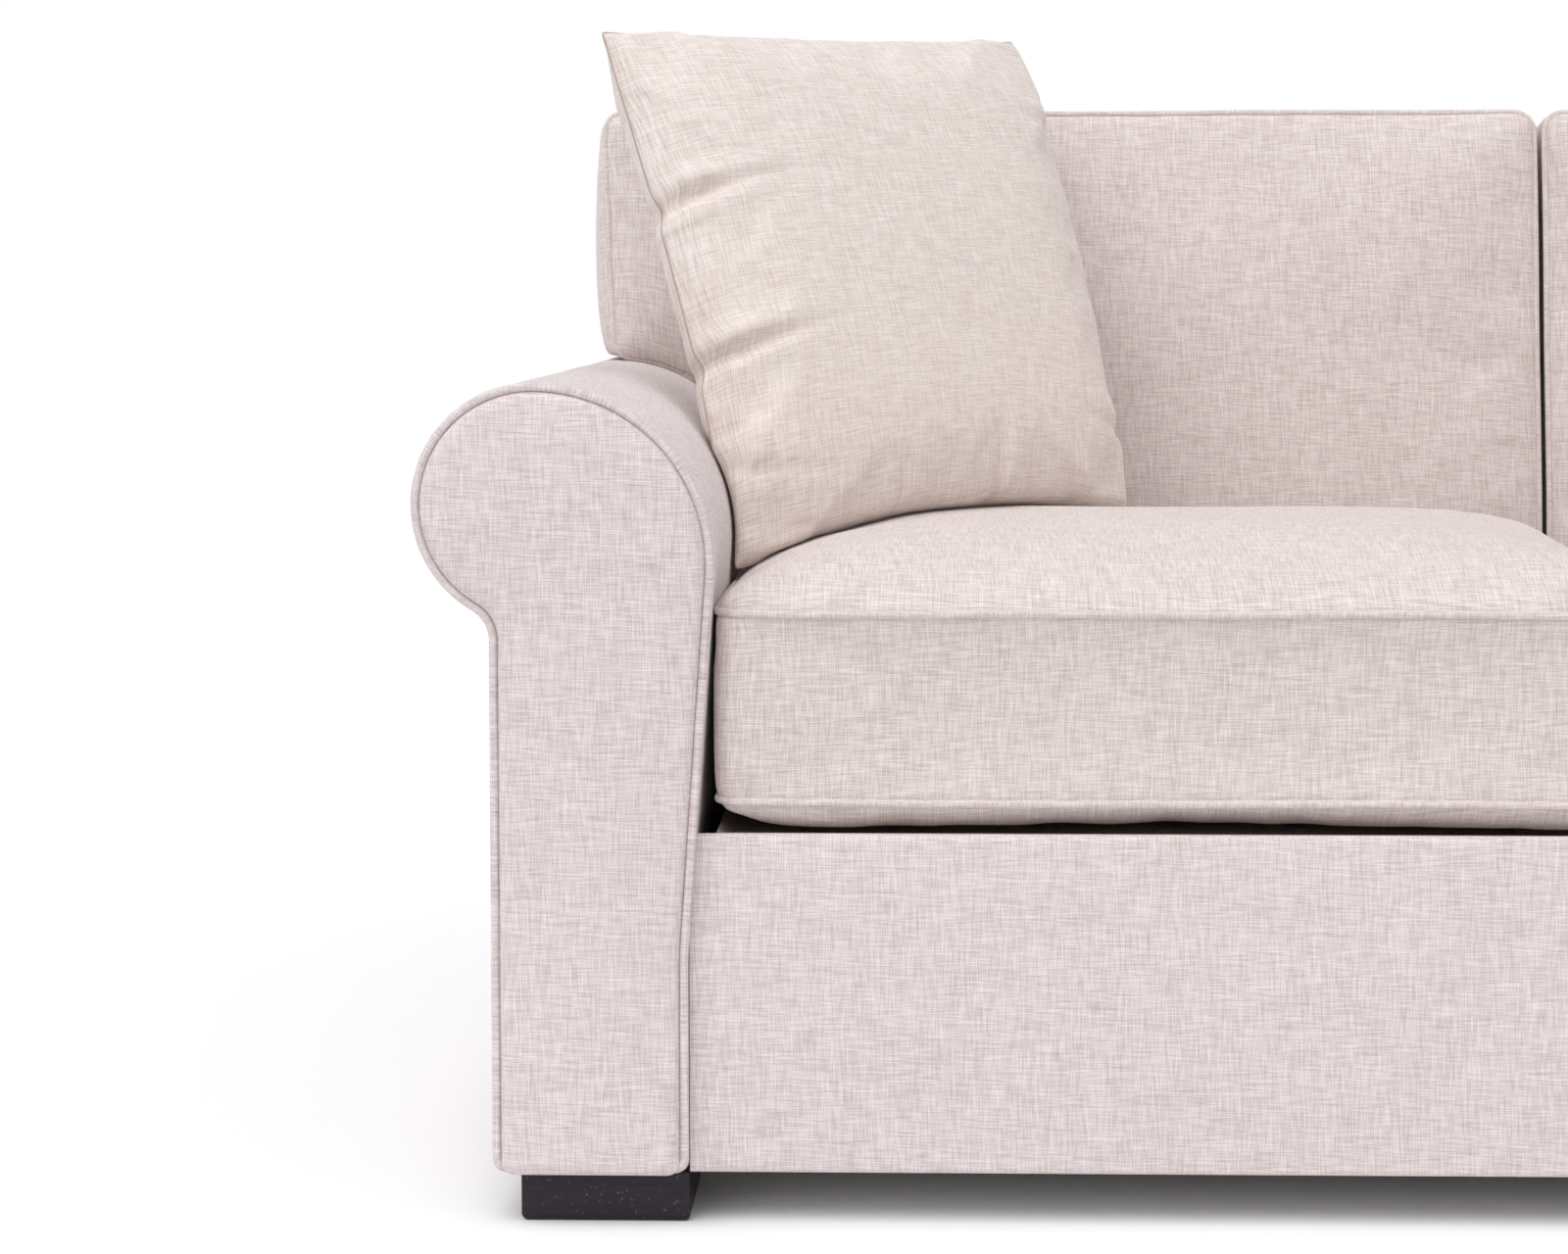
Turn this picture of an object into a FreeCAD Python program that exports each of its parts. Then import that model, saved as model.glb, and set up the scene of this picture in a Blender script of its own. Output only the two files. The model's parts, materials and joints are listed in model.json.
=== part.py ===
import FreeCAD, Part
import math
import os
import re

import Sketcher

# Sectional sofa with rolled arms: a two-seat section with the left arm, and a chaise
# section with the right arm that hooks on to it. Millimetres, +Z up, the sofa faces -Y.
# The origin is on the floor, under the middle of the whole sofa.

# Driving sizes, in millimetres and degrees
SIZES = {
    # overall
    "seat_width": 762,
    "seat_depth": 620,
    "chaise_depth": 1640,
    "section_gap": 12,
    "foot_height": 40,
    "base_height": 268,
    "back_height": 846,
    "back_rake": 9,
    "back_top_thickness": 62,
    # rolled arm
    "arm_height": 660,
    "arm_post_width": 154,
    "arm_crest": 35,
    "arm_overhang": 60,
    "arm_lip": 21,
    "arm_throat_radius": 26,
    "arm_ease_radius": 400,
    "arm_slant": 4,
    "arm_panel_thickness": 12,
    "arm_rear_thickness": 3,
    "welt_radius": 3.5,
    # upholstery
    "pad_thickness": 12,
    "pad_round": 8,
    "border_setback": 16,
    "border_lead": 4,
    "deck_thickness": 13,
    "dust_thickness": 1.5,
    "strap_width": 60,
    "strap_thickness": 2,
    # timber
    "rail_thickness": 28,
    "board_thickness": 22,
    "post_thickness": 32,
    "back_rail_height": 70,
    "block_leg": 95,
    "block_height": 60,
    "middle_rail_height": 120,
    "pole_radius": 28,
    "arm_rail_height": 85,
    # feet
    "foot_width": 133,
    "foot_depth": 120,
    "foot_inset": 20,
    "foot_chamfer": 3,
    # connectors
    "plate_thickness": 2.5,
    "plate_width": 60,
    "plate_height": 60,
    "pocket_height": 40,
    "pocket_level": 160,
    "connector_inset": 150,
    # seat cushions
    "cushion_gap": 1.5,
    "cushion_under": 24,
    "cushion_boxing": 147,
    "cushion_crown": 58,
    "cushion_flat": 42,
    "cushion_under_run": 60,
    "cushion_corner": 34,
    "cushion_draw": 4,
    # back cushions
    "back_cushion_thickness": 190,
    "back_cushion_height": 580,
    "back_cushion_rear": 22,
    "back_cushion_boxing": 128,
    "back_cushion_rear_run": 50,
    "back_cushion_corner": 30,
    "ear_width": 166,
    "ear_gap": 1,
    # throw pillow
    "pillow_side": 480,
    "pillow_thickness": 150,
    "pillow_draw": 16,
    "pillow_corner": 14,
    "pillow_flat": 35,
    "pillow_yaw": 39.6,
    "pillow_lean": 22.9,
    "pillow_tilt": 1.5,
    "pillow_over_arm": 60,
    "pillow_from_back": 3.6,
    "pillow_settle": 24.5,
    # clearance between pieces that meet
    "fit_gap": 0.3,
    "slide_gap": 0.4,
}

# Places worked out from the driving sizes
PLACES = {
    # across the sofa
    "arm_outer_radius": "arm_crest + arm_overhang",
    "arm_inner_radius": "arm_post_width + arm_lip - arm_crest",
    "half_width": "(3 * seat_width + section_gap) / 2 + arm_overhang + arm_post_width + arm_lip",
    "post_out": "arm_overhang - half_width",
    "post_in": "post_out + arm_post_width",
    "seat_left": "post_in + arm_lip",
    "seat_middle": "seat_left + seat_width",
    "left_end": "seat_middle + seat_width",
    "left_frame_end": "left_end - pad_thickness",
    "chaise_start": "left_end + section_gap",
    "chaise_frame_start": "chaise_start + pad_thickness",
    "seat_right": "chaise_start + seat_width",
    "chaise_post_in": "seat_right + arm_lip",
    "back_left": "post_out + pad_thickness",
    # up from the floor
    "underside": "foot_height",
    "deck_top": "foot_height + base_height",
    "rail_bottom": "underside + dust_thickness",
    "rail_top": "deck_top - deck_thickness - 2 * strap_thickness",
    "back_inner_top": "back_height - pad_thickness",
    "back_rail_top": "back_inner_top - fit_gap",
    "back_post_top": "back_rail_top - back_rail_height",
    # from the rear to the front
    "rear": "chaise_depth / 2",
    "chaise_front": "0 - chaise_depth / 2",
    "chaise_frame_front": "chaise_front + pad_thickness",
    "back_face_top": "rear - back_top_thickness",
    "back_face": "back_face_top - (back_height - deck_top) * tan(back_rake)",
    "back_inner_face": "back_face + pad_thickness / cos(back_rake)",
    "post_face": "back_inner_face + (fit_gap + strap_thickness) / cos(back_rake)",
    "post_rear": "rear - pad_thickness - fit_gap",
    "rear_rail_front": "post_face - rail_thickness",
    "seat_rear": "back_face - back_cushion_thickness * cos(back_rake) - cushion_gap",
    "seat_front": "seat_rear - seat_depth",
    "border_front": "seat_front - border_lead",
    "arm_front": "border_front - border_setback",
    "frame_front": "border_front + pad_thickness",
    # inside the arm
    "arm_board_inset": "pad_thickness + fit_gap",
    "arm_cover_front": "arm_front + arm_panel_thickness",
    "arm_cover_rear": "rear - arm_rear_thickness",
    "arm_frame_front": "arm_cover_front + board_thickness",
    "arm_frame_rear": "arm_cover_rear - board_thickness",
    # connectors
    "pocket_width": "plate_thickness + 2 * slide_gap",
    "tongue_left": "left_end + plate_thickness + slide_gap",
    "tongue_right": "tongue_left + plate_thickness",
    "pocket_right": "left_end + 2 * plate_thickness + pocket_width",
    "pocket_top": "pocket_level + pocket_height",
    "hook_level": "pocket_top + 4 * slide_gap",
    "connector_front": "frame_front + connector_inset",
    "connector_pitch": "rear_rail_front - connector_inset - plate_width - connector_front",
    # cushions
    "crown_top": "deck_top + fit_gap + cushion_under + cushion_boxing + cushion_crown",
    "ear_front": "back_cushion_rear + back_cushion_boxing",
    "ear_bottom": "(arm_height - deck_top - ear_front * sin(back_rake)) / cos(back_rake)",
    "pillow_half": "pillow_side / 2",
    "pillow_drop": "pillow_half * (cos(pillow_tilt) + sin(pillow_tilt)) * cos(pillow_lean)",
    "pillow_x": "seat_left + pillow_half * cos(pillow_yaw) - pillow_over_arm",
    "pillow_y": "seat_rear - pillow_half * sin(pillow_yaw) - pillow_from_back",
    "pillow_z": "crown_top + pillow_drop - pillow_settle",
}

doc = FreeCAD.newDocument("sectional_sofa")
sheet = doc.addObject("Spreadsheet::Sheet", "sizes")
for row, (alias, value) in enumerate(SIZES.items(), 1):
    sheet.set(f"A{row}", alias)
    sheet.set(f"B{row}", str(value))
    sheet.setAlias(f"B{row}", alias)
doc.recompute()

nodes = []


# Formulas

def expand(formula):
    """The formula with every name turned into a reference to the spreadsheet."""
    def swap(match):
        word = match.group(0)
        if word in PLACES:
            return "(" + expand(PLACES[word]) + ")"
        return "sizes." + word if word in SIZES else word
    return re.sub(r"[a-z_]+", swap, formula)


def number(formula):
    """The present value of a formula."""
    return float(sheet.evalExpression(expand(formula)))


def bind(thing, prop, formula):
    """Tie a property to a formula."""
    thing.setExpression(prop, expand(formula))


def bind_box(thing, prop, low, high):
    """Tie a length to the distance between two places."""
    bind(thing, prop, f"({high}) - ({low})")


# Sketches and bodies

def keep(thing):
    """Count an object as a finished sub-part."""
    nodes.append(thing)
    return thing


def new_body(label):
    body = doc.addObject("PartDesign::Body", label)
    body.Label = label
    return body


def new_sketch(body, plane):
    """An empty sketch on one of the body's own origin planes."""
    sketch = body.newObject("Sketcher::SketchObject", body.Label + "_sketch")
    support = next(item for item in body.Origin.OriginFeatures if item.Role == plane)
    sketch.AttachmentSupport = [(support, "")]
    sketch.MapMode = "FlatFace"
    return sketch


def constrain(sketch, formula, kind, *where):
    """Add a dimension to a sketch and tie it to a formula."""
    value = math.radians(number(formula)) if kind == "Angle" else number(formula)
    index = sketch.addConstraint(Sketcher.Constraint(kind, *where, value))
    bind(sketch, f"Constraints[{index}]", formula)


def draw_polygon(sketch, corners):
    """A closed outline of straight lines. Each corner is a pair of formulas."""
    points = [FreeCAD.Vector(number(x), number(y), 0) for x, y in corners]
    first = sketch.GeometryCount
    count = len(points)
    for i in range(count):
        sketch.addGeometry(Part.LineSegment(points[i], points[(i + 1) % count]))
    for i in range(count):
        following = first + (i + 1) % count
        sketch.addConstraint(Sketcher.Constraint("Coincident", first + i, 2, following, 1))
    for i, (x, y) in enumerate(corners):
        constrain(sketch, x, "DistanceX", -1, 1, first + i, 1)
        constrain(sketch, y, "DistanceY", -1, 1, first + i, 1)


def add_pad(body, sketch, depth):
    pad = body.newObject("PartDesign::Pad", body.Label + "_pad")
    pad.Profile = sketch
    bind(pad, "Length", depth)
    body.Tip = pad
    return pad


def prism(label, plane, outlines, low, high):
    """A body that runs from low to high across its plane, with one solid per outline."""
    body = new_body(label)
    sketch = new_sketch(body, plane)
    for outline in outlines:
        draw_polygon(sketch, outline)
    add_pad(body, sketch, f"({high}) - ({low})")
    axis, start = {"XY_Plane": ("z", low), "YZ_Plane": ("x", low), "XZ_Plane": ("y", high)}[plane]
    bind(body, "Placement.Base." + axis, start)
    doc.recompute()
    return body


def rectangle(x_low, x_high, y_low, y_high):
    return [(x_low, y_low), (x_high, y_low), (x_high, y_high), (x_low, y_high)]


def round_edges(body, kind, prop, size, chosen):
    """Fillet or chamfer the edges whose centre passes the test."""
    doc.recompute()
    base = body.Tip
    names = [f"Edge{i}" for i, edge in enumerate(base.Shape.Edges, 1) if chosen(edge.CenterOfMass)]
    feature = body.newObject("PartDesign::" + kind, f"{body.Label}_{kind.lower()}")
    feature.Base = (base, names)
    bind(feature, prop, size)
    body.Tip = feature
    doc.recompute()


def repeat(body, axis, length, count):
    """Repeat the body's last feature along one of its origin axes."""
    original = body.Tip
    pattern = body.newObject("PartDesign::LinearPattern", body.Label + "_row")
    pattern.Originals = [original]
    direction = next(item for item in body.Origin.OriginFeatures if item.Role == axis)
    pattern.Direction = (direction, [""])
    bind(pattern, "Length", length)
    body.Tip = pattern
    pattern.Occurrences = count
    doc.recompute()


def near(value, formula):
    return abs(value - number(formula)) < 0.01


def board(label, x_low, x_high, y_low, y_high, z_low, z_high):
    """A straight length of timber."""
    box = doc.addObject("Part::Box", label)
    box.Label = label
    bind_box(box, "Length", x_low, x_high)
    bind_box(box, "Width", y_low, y_high)
    bind_box(box, "Height", z_low, z_high)
    for axis, low in zip("xyz", (x_low, y_low, z_low)):
        bind(box, "Placement.Base." + axis, low)
    return box


def group(label, members):
    compound = doc.addObject("Part::Compound", label)
    compound.Label = label
    compound.Links = members
    return compound


def cut(label, base, tool):
    result = doc.addObject("Part::Cut", label)
    result.Label = label
    result.Base = base
    result.Tool = tool
    return result


def mirror(label, source):
    """The same piece on the other side of the sofa's middle."""
    copy = doc.addObject("Part::Mirroring", label)
    copy.Label = label
    copy.Source = source
    copy.Base = FreeCAD.Vector(0, 0, 0)
    copy.Normal = FreeCAD.Vector(1, 0, 0)
    return copy


# Rolled arm

def draw_scroll(sketch, inset, bottom, closed=True):
    """Outline of the arm, seen from the front, with x from the post's outer face.

    It goes up the post, through the hollow under the roll, over the roll in two arcs
    that meet at the crest, and down the slanting inside.
    """
    gap = number(inset)
    crest, height = number("arm_crest"), number("arm_height")
    outer, inner = number("arm_outer_radius"), number("arm_inner_radius")
    throat, ease = number("arm_throat_radius"), number("arm_ease_radius")
    width, slant = number("arm_post_width"), math.radians(number("arm_slant"))
    floor = number(bottom)
    throat_rise = math.sqrt((outer + throat) ** 2 - (crest + throat) ** 2)
    throat_z = height - outer - throat_rise
    throat_turn = math.atan2(throat_rise, crest + throat)
    inside = math.cos(slant) * (width + ease - crest) - inner - ease
    ease_z = height - inner + inside / math.sin(slant)

    def at(x, z):
        return FreeCAD.Vector(x, z, 0)

    def arc(centre, radius, start, end):
        circle = Part.Circle(centre, FreeCAD.Vector(0, 0, 1), radius)
        return sketch.addGeometry(Part.ArcOfCircle(circle, start, end))

    roll, bend = at(crest, height - inner), at(width + ease, ease_z)
    slope_top = roll + at(math.cos(slant), -math.sin(slant)) * (inner - gap)
    slope_foot = bend + at(-math.cos(slant), math.sin(slant)) * (ease + gap)
    post = sketch.addGeometry(Part.LineSegment(at(gap, floor), at(gap, throat_z)))
    hollow = arc(at(-throat, throat_z), throat + gap, 0, throat_turn)
    small = arc(at(crest, height - outer), outer - gap, math.pi / 2, math.pi + throat_turn)
    large = arc(roll, inner - gap, -slant, math.pi / 2)
    slope = sketch.addGeometry(Part.LineSegment(slope_top, slope_foot))
    bent = arc(bend, ease + gap, math.pi - slant, math.pi)
    wall = sketch.addGeometry(Part.LineSegment(at(width - gap, ease_z), at(width - gap, floor)))
    joints = [(post, 2, hollow, 1), (hollow, 2, small, 2), (small, 1, large, 2),
              (large, 1, slope, 1), (slope, 2, bent, 1), (bent, 2, wall, 1)]
    for joint in joints:
        sketch.addConstraint(Sketcher.Constraint("Tangent", *joint))
    sketch.addConstraint(Sketcher.Constraint("Vertical", post))
    sketch.addConstraint(Sketcher.Constraint("Vertical", wall))
    constrain(sketch, f"arm_throat_radius + ({inset})", "Radius", hollow)
    constrain(sketch, f"arm_outer_radius - ({inset})", "Radius", small)
    constrain(sketch, f"arm_inner_radius - ({inset})", "Radius", large)
    constrain(sketch, f"arm_ease_radius + ({inset})", "Radius", bent)
    constrain(sketch, "arm_crest", "DistanceX", -1, 1, small, 3)
    constrain(sketch, "arm_height - arm_outer_radius", "DistanceY", -1, 1, small, 3)
    constrain(sketch, "arm_crest", "DistanceX", -1, 1, large, 3)
    constrain(sketch, inset, "DistanceX", -1, 1, post, 1)
    constrain(sketch, f"arm_post_width - ({inset})", "DistanceX", -1, 1, wall, 2)
    constrain(sketch, "270 - arm_slant", "Angle", slope)
    constrain(sketch, bottom, "DistanceY", -1, 1, post, 1)
    constrain(sketch, bottom, "DistanceY", -1, 1, wall, 2)
    if closed:
        base = sketch.addGeometry(Part.LineSegment(at(width - gap, floor), at(gap, floor)))
        sketch.addConstraint(Sketcher.Constraint("Coincident", wall, 2, base, 1))
        sketch.addConstraint(Sketcher.Constraint("Coincident", base, 2, post, 1))


def scroll_block(label, inset, bottom, front, back):
    """A solid with the arm's outline."""
    body = new_body(label)
    sketch = new_sketch(body, "XZ_Plane")
    draw_scroll(sketch, inset, bottom)
    add_pad(body, sketch, f"({back}) - ({front})")
    bind(body, "Placement.Base.x", "post_out")
    bind(body, "Placement.Base.y", back)
    doc.recompute()
    return body


def make_arm_cover():
    """Padded fabric over the arm frame, open below and at both ends."""
    body = scroll_block("left_arm_cover", "0", "underside", "arm_cover_front", "arm_cover_rear")
    hollow = new_sketch(body, "XZ_Plane")
    draw_scroll(hollow, "pad_thickness", "0")
    pocket = body.newObject("PartDesign::Pocket", "left_arm_hollow")
    pocket.Profile = hollow
    pocket.Type = "ThroughAll"
    pocket.Reversed = True
    body.Tip = pocket
    doc.recompute()
    return body


def make_arm_front_panel():
    """Scroll-shaped front panel with a bevelled face."""
    body = scroll_block("left_arm_front_panel", "2 * welt_radius", "underside", "arm_front",
                        "arm_cover_front")
    face = -number("arm_panel_thickness")
    foot = number("underside")
    round_edges(body, "Chamfer", "Size", "welt_radius",
                lambda c: abs(c.y - face) < 0.01 and abs(c.z - foot) > 0.01)
    return body


def make_arm_welt():
    """Fabric-covered cord around the front panel, from floor to floor."""
    body = new_body("left_arm_welt")
    path = new_sketch(body, "XZ_Plane")
    draw_scroll(path, "welt_radius", "underside", closed=False)
    ring = new_sketch(body, "XY_Plane")
    bind(ring, "AttachmentOffset.Base.z", "underside")
    turns = [45 * side + 22.5 for side in range(8)]
    draw_polygon(ring, [(f"welt_radius * (1 + cos({turn}))", f"welt_radius * sin({turn})") for turn in turns])
    doc.recompute()
    pipe = body.newObject("PartDesign::AdditivePipe", "left_arm_welt_pipe")
    pipe.Profile = ring
    pipe.Spine = (path, [])
    body.Tip = pipe
    bind(body, "Placement.Base.x", "post_out")
    bind(body, "Placement.Base.y", "arm_cover_front - welt_radius")
    doc.recompute()
    return body


def make_arm_rails():
    """Timber between the two scroll boards: two low rails, a seat rail and a round pole."""
    span = ("arm_frame_front", "arm_frame_rear")
    outer, inner = "post_out + arm_board_inset", "post_in - arm_board_inset"
    low = ("rail_bottom", "rail_bottom + arm_rail_height")
    high = ("rail_top - arm_rail_height", "rail_top")
    outer_rail = board("left_arm_outer_rail", outer, f"{outer} + rail_thickness", *span, *low)
    inner_rail = board("left_arm_inner_rail", f"{inner} - rail_thickness", inner, *span, *low)
    seat_rail = board("left_arm_seat_rail", f"{inner} - rail_thickness", inner, *span, *high)
    pole = doc.addObject("Part::Cylinder", "left_arm_pole")
    pole.Placement.Rotation = FreeCAD.Rotation(FreeCAD.Vector(1, 0, 0), -90)
    bind(pole, "Radius", "pole_radius")
    bind_box(pole, "Height", *span)
    bind(pole, "Placement.Base.x", "post_out + arm_crest")
    bind(pole, "Placement.Base.y", span[0])
    bind(pole, "Placement.Base.z", "arm_height - arm_outer_radius")
    return group("left_arm_rails", [outer_rail, inner_rail, seat_rail, pole])


def make_arms():
    """The left arm piece by piece, and its mirror image on the chaise."""
    boards = ("arm_board_inset", "rail_bottom")
    pieces = [
        scroll_block("left_arm_front_board", *boards, "arm_cover_front", "arm_frame_front"),
        scroll_block("left_arm_rear_board", *boards, "arm_frame_rear", "arm_cover_rear"),
        make_arm_rails(),
        make_arm_cover(),
        make_arm_front_panel(),
        make_arm_welt(),
        scroll_block("left_arm_rear_panel", "0", "underside", "arm_cover_rear", "rear"),
    ]
    for piece in pieces:
        keep(piece)
        keep(mirror(piece.Label.replace("left", "chaise", 1), piece))


# Base of a section

def make_base(name, x_low, x_high, front, middle):
    """Rails, corner blocks, webbing, deck and dust cover between two sides.

    The middle rail runs front to back or side to side, as its outline says.
    """
    inner_low, inner_high = f"{x_low} + rail_thickness", f"{x_high} - rail_thickness"
    inner_front = f"{front} + rail_thickness"
    level = ("rail_bottom", "rail_top")
    keep(board(f"{name}_front_rail", x_low, x_high, front, inner_front, *level))
    keep(board(f"{name}_rear_rail", x_low, x_high, "rear_rail_front", "post_face", *level))
    keep(board(f"{name}_left_rail", x_low, inner_low, inner_front, "rear_rail_front", *level))
    keep(board(f"{name}_right_rail", inner_high, x_high, inner_front, "rear_rail_front", *level))
    keep(board(f"{name}_middle_rail", *middle, "rail_bottom", "rail_bottom + middle_rail_height"))
    blocks = []
    for x, x_sign in ((inner_low, "+"), (inner_high, "-")):
        for y, y_sign in ((inner_front, "+"), ("rear_rail_front", "-")):
            leg_x, leg_y = f"{x} {x_sign} block_leg", f"{y} {y_sign} block_leg"
            blocks.append([(x, y), (leg_x, y), (x, leg_y)])
    keep(prism(f"{name}_corner_blocks", "XY_Plane", blocks,
               "rail_top - block_height - strap_thickness", "rail_top - strap_thickness"))
    keep(prism(f"{name}_deck", "XY_Plane", [rectangle(x_low, x_high, front, "post_face")],
               "deck_top - deck_thickness", "deck_top"))
    keep(prism(f"{name}_dust_cover", "XY_Plane", [rectangle(x_low, x_high, front, "post_rear")],
               "underside", "rail_bottom"))


def make_webbing(name, x_low, x_high, front, long_count, cross_count):
    """Straps from front to rear on the rails, and straps across on top of them."""
    first = f"{x_low} + rail_thickness"
    span = f"({x_high}) - ({x_low}) - 2 * rail_thickness - strap_width"
    lengthwise = prism(f"{name}_long_straps", "XY_Plane",
                       [rectangle(first, f"{first} + strap_width", front, "post_face")],
                       "rail_top", "rail_top + strap_thickness")
    repeat(lengthwise, "X_Axis", span, long_count)
    start = f"{front} + rail_thickness"
    reach = f"rear_rail_front - ({front}) - rail_thickness - strap_width"
    across = prism(f"{name}_cross_straps", "XY_Plane",
                   [rectangle(x_low, x_high, start, f"{start} + strap_width")],
                   "rail_top + strap_thickness", "rail_top + 2 * strap_thickness")
    repeat(across, "Y_Axis", reach, cross_count)
    keep(lengthwise)
    keep(across)


def make_border(label, x_low, x_high, y_low, y_high, rounded):
    """Padded border from the underside up to the deck, with a rounded top edge."""
    body = prism(label, "XY_Plane", [rectangle(x_low, x_high, y_low, y_high)],
                 "underside", "deck_top")
    top = number("base_height")
    round_edges(body, "Fillet", "Radius", "pad_round",
                lambda c: abs(c.z - top) < 0.01 and rounded(c))
    return body


def make_end_panel(label, x_low, front):
    """Flat padded side where the two sections meet: seat height in front, back height behind."""
    outline = [(front, "underside"), ("rear", "underside"), ("rear", "back_height"),
               ("back_face_top", "back_height"), ("back_face", "deck_top"), (front, "deck_top")]
    return prism(label, "YZ_Plane", [outline], x_low, f"{x_low} + pad_thickness")


def make_feet(label, corners):
    """Block feet, with each one's lowest corner given as a pair of formulas."""
    outlines = [rectangle(x, f"{x} + foot_width", y, f"{y} + foot_depth") for x, y in corners]
    body = prism(label, "XY_Plane", outlines, "0", "foot_height")
    round_edges(body, "Chamfer", "Size", "foot_chamfer", lambda c: abs(c.z) < 0.01)
    return body


# Back of a section

def rake(offset, level):
    """Place on the back's slope, offset in y from its face, at a level."""
    return f"{offset} + ({level} - deck_top) * tan(back_rake)"


def make_back_frame(name, post_places, rail_low, rail_high, strap_low, strap_high):
    """Raked posts behind the rear rail, a top rail on them and webbing across their faces."""
    foot = [("post_face", "rail_bottom"), ("post_rear", "rail_bottom")]
    post = foot + [("post_rear", "back_post_top"), (rake("post_face", "back_post_top"), "back_post_top"),
                   ("post_face", "deck_top")]
    posts = [prism(f"{name}_back_post_{i}", "YZ_Plane", [post], x, f"{x} + post_thickness")
             for i, x in enumerate(post_places, 1)]
    keep(group(f"{name}_back_posts", posts))
    top_rail = [(rake("post_face", "back_post_top"), "back_post_top"), ("post_rear", "back_post_top"),
                ("post_rear", "back_rail_top"), (rake("post_face", "back_rail_top"), "back_rail_top")]
    keep(prism(f"{name}_back_top_rail", "YZ_Plane", [top_rail], rail_low, rail_high))
    straps = new_body(f"{name}_back_straps")
    sketch = new_sketch(straps, "XY_Plane")
    near_face, far_face = "pad_thickness + fit_gap", "pad_thickness + fit_gap + strap_thickness"
    draw_polygon(sketch, rectangle(strap_low, strap_high, near_face, far_face))
    add_pad(straps, sketch, "strap_width")
    straps.Placement.Rotation = FreeCAD.Rotation(FreeCAD.Vector(-1, 0, 0), number("back_rake"))
    bind(straps, "Placement.Rotation.Angle", "back_rake")
    bind(straps, "Placement.Base.y", "back_face + strap_width / 2 * sin(back_rake)")
    bind(straps, "Placement.Base.z", "deck_top + strap_width / 2 * cos(back_rake)")
    repeat(straps, "Z_Axis", "(back_post_top - deck_top) / cos(back_rake) - 2 * strap_width", 4)
    keep(straps)


def make_back_cover(label, x_low, x_high):
    """Padded shell over the back frame, closed at the arm end, which is its low end."""
    body = new_body(label)
    shell = new_sketch(body, "YZ_Plane")
    draw_polygon(shell, [
        ("rear", "underside"), ("rear", "back_height"), ("back_face_top", "back_height"),
        ("back_face", "deck_top"), ("back_inner_face", "deck_top"),
        (rake("back_inner_face", "back_inner_top"), "back_inner_top"),
        ("rear - pad_thickness", "back_inner_top"), ("rear - pad_thickness", "underside")])
    add_pad(body, shell, f"({x_high}) - ({x_low})")
    end = new_sketch(body, "YZ_Plane")
    draw_polygon(end, [("rear", "underside"), ("rear", "back_height"),
                       ("back_face_top", "back_height"), ("back_face", "deck_top"),
                       ("back_face", "underside")])
    add_pad(body, end, "pad_thickness")
    far = number(f"({x_high}) - ({x_low})")
    round_edges(body, "Fillet", "Radius", "pad_round",
                lambda c: near(c.z, "back_height") and c.x < far - 1)
    bind(body, "Placement.Base.x", x_low)
    doc.recompute()
    return body


# Connectors between the sections

def make_connectors():
    """Upward pockets on the left section, and the tongues of the chaise that drop into them."""
    pocket = [("left_end", "pocket_level"), ("pocket_right", "pocket_level"),
              ("pocket_right", "pocket_top"), ("pocket_right - plate_thickness", "pocket_top"),
              ("pocket_right - plate_thickness", "pocket_level + plate_thickness"),
              ("left_end + plate_thickness", "pocket_level + plate_thickness"),
              ("left_end + plate_thickness", "pocket_level + plate_height"),
              ("left_end", "pocket_level + plate_height")]
    tongue = [("tongue_left", "pocket_level + plate_thickness + slide_gap"),
              ("tongue_right", "pocket_level + plate_thickness + slide_gap"),
              ("tongue_right", "hook_level"), ("chaise_start", "hook_level"),
              ("chaise_start", "hook_level + plate_height"),
              ("chaise_start - plate_thickness", "hook_level + plate_height"),
              ("chaise_start - plate_thickness", "hook_level + plate_thickness"),
              ("tongue_left", "hook_level + plate_thickness")]
    for label, outline in (("left_catches", pocket), ("chaise_hooks", tongue)):
        body = prism(label, "XZ_Plane", [outline], "connector_front", "connector_front + plate_width")
        repeat(body, "Y_Axis", "connector_pitch", 2)
        keep(body)


# Cushions

def soft_outline(corners, inset, radius, draw, level):
    """A closed wire: the outline moved in by the inset, with round corners and drawn-in sides."""
    corners = [FreeCAD.Vector(x, y, level) for x, y in corners]
    count = len(corners)
    runs = [(corners[(i + 1) % count] - corners[i]).normalize() for i in range(count)]
    inward = [FreeCAD.Vector(-run.y, run.x, 0) for run in runs]
    starts, ends, arcs = [], [], []
    for i in range(count):
        before, after = inward[i - 1], inward[i]
        corner = corners[i] + (before + after) * (inset / (1 + before.dot(after)))
        start, end = corner - runs[i - 1] * radius, corner + runs[i] * radius
        centre = start + runs[i] * radius
        middle = centre + (corner - centre).normalize() * radius
        starts.append(start)
        ends.append(end)
        arcs.append(Part.Arc(start, middle, end).toShape())
    edges = []
    for i in range(count):
        following = starts[(i + 1) % count]
        side = Part.LineSegment(ends[i], following)
        if draw:
            middle = (ends[i] + following) * 0.5 + inward[i] * draw
            side = Part.Arc(ends[i], middle, following)
        edges += [arcs[i], side.toShape()]
    return Part.Wire(edges)


# A face that strays less than this from a plane counts as flat, in mm
FLAT = 0.00001


def loft_through(wires):
    """A ruled solid through the wires, with its flat faces as true planes."""
    faces = []
    for face in Part.makeLoft(wires, True, True).Faces:
        plane = face.findPlane(FLAT)
        faces.append(Part.Face(plane, face.OuterWire) if plane else face)
    return Part.Solid(Part.Shell(faces))


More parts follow.
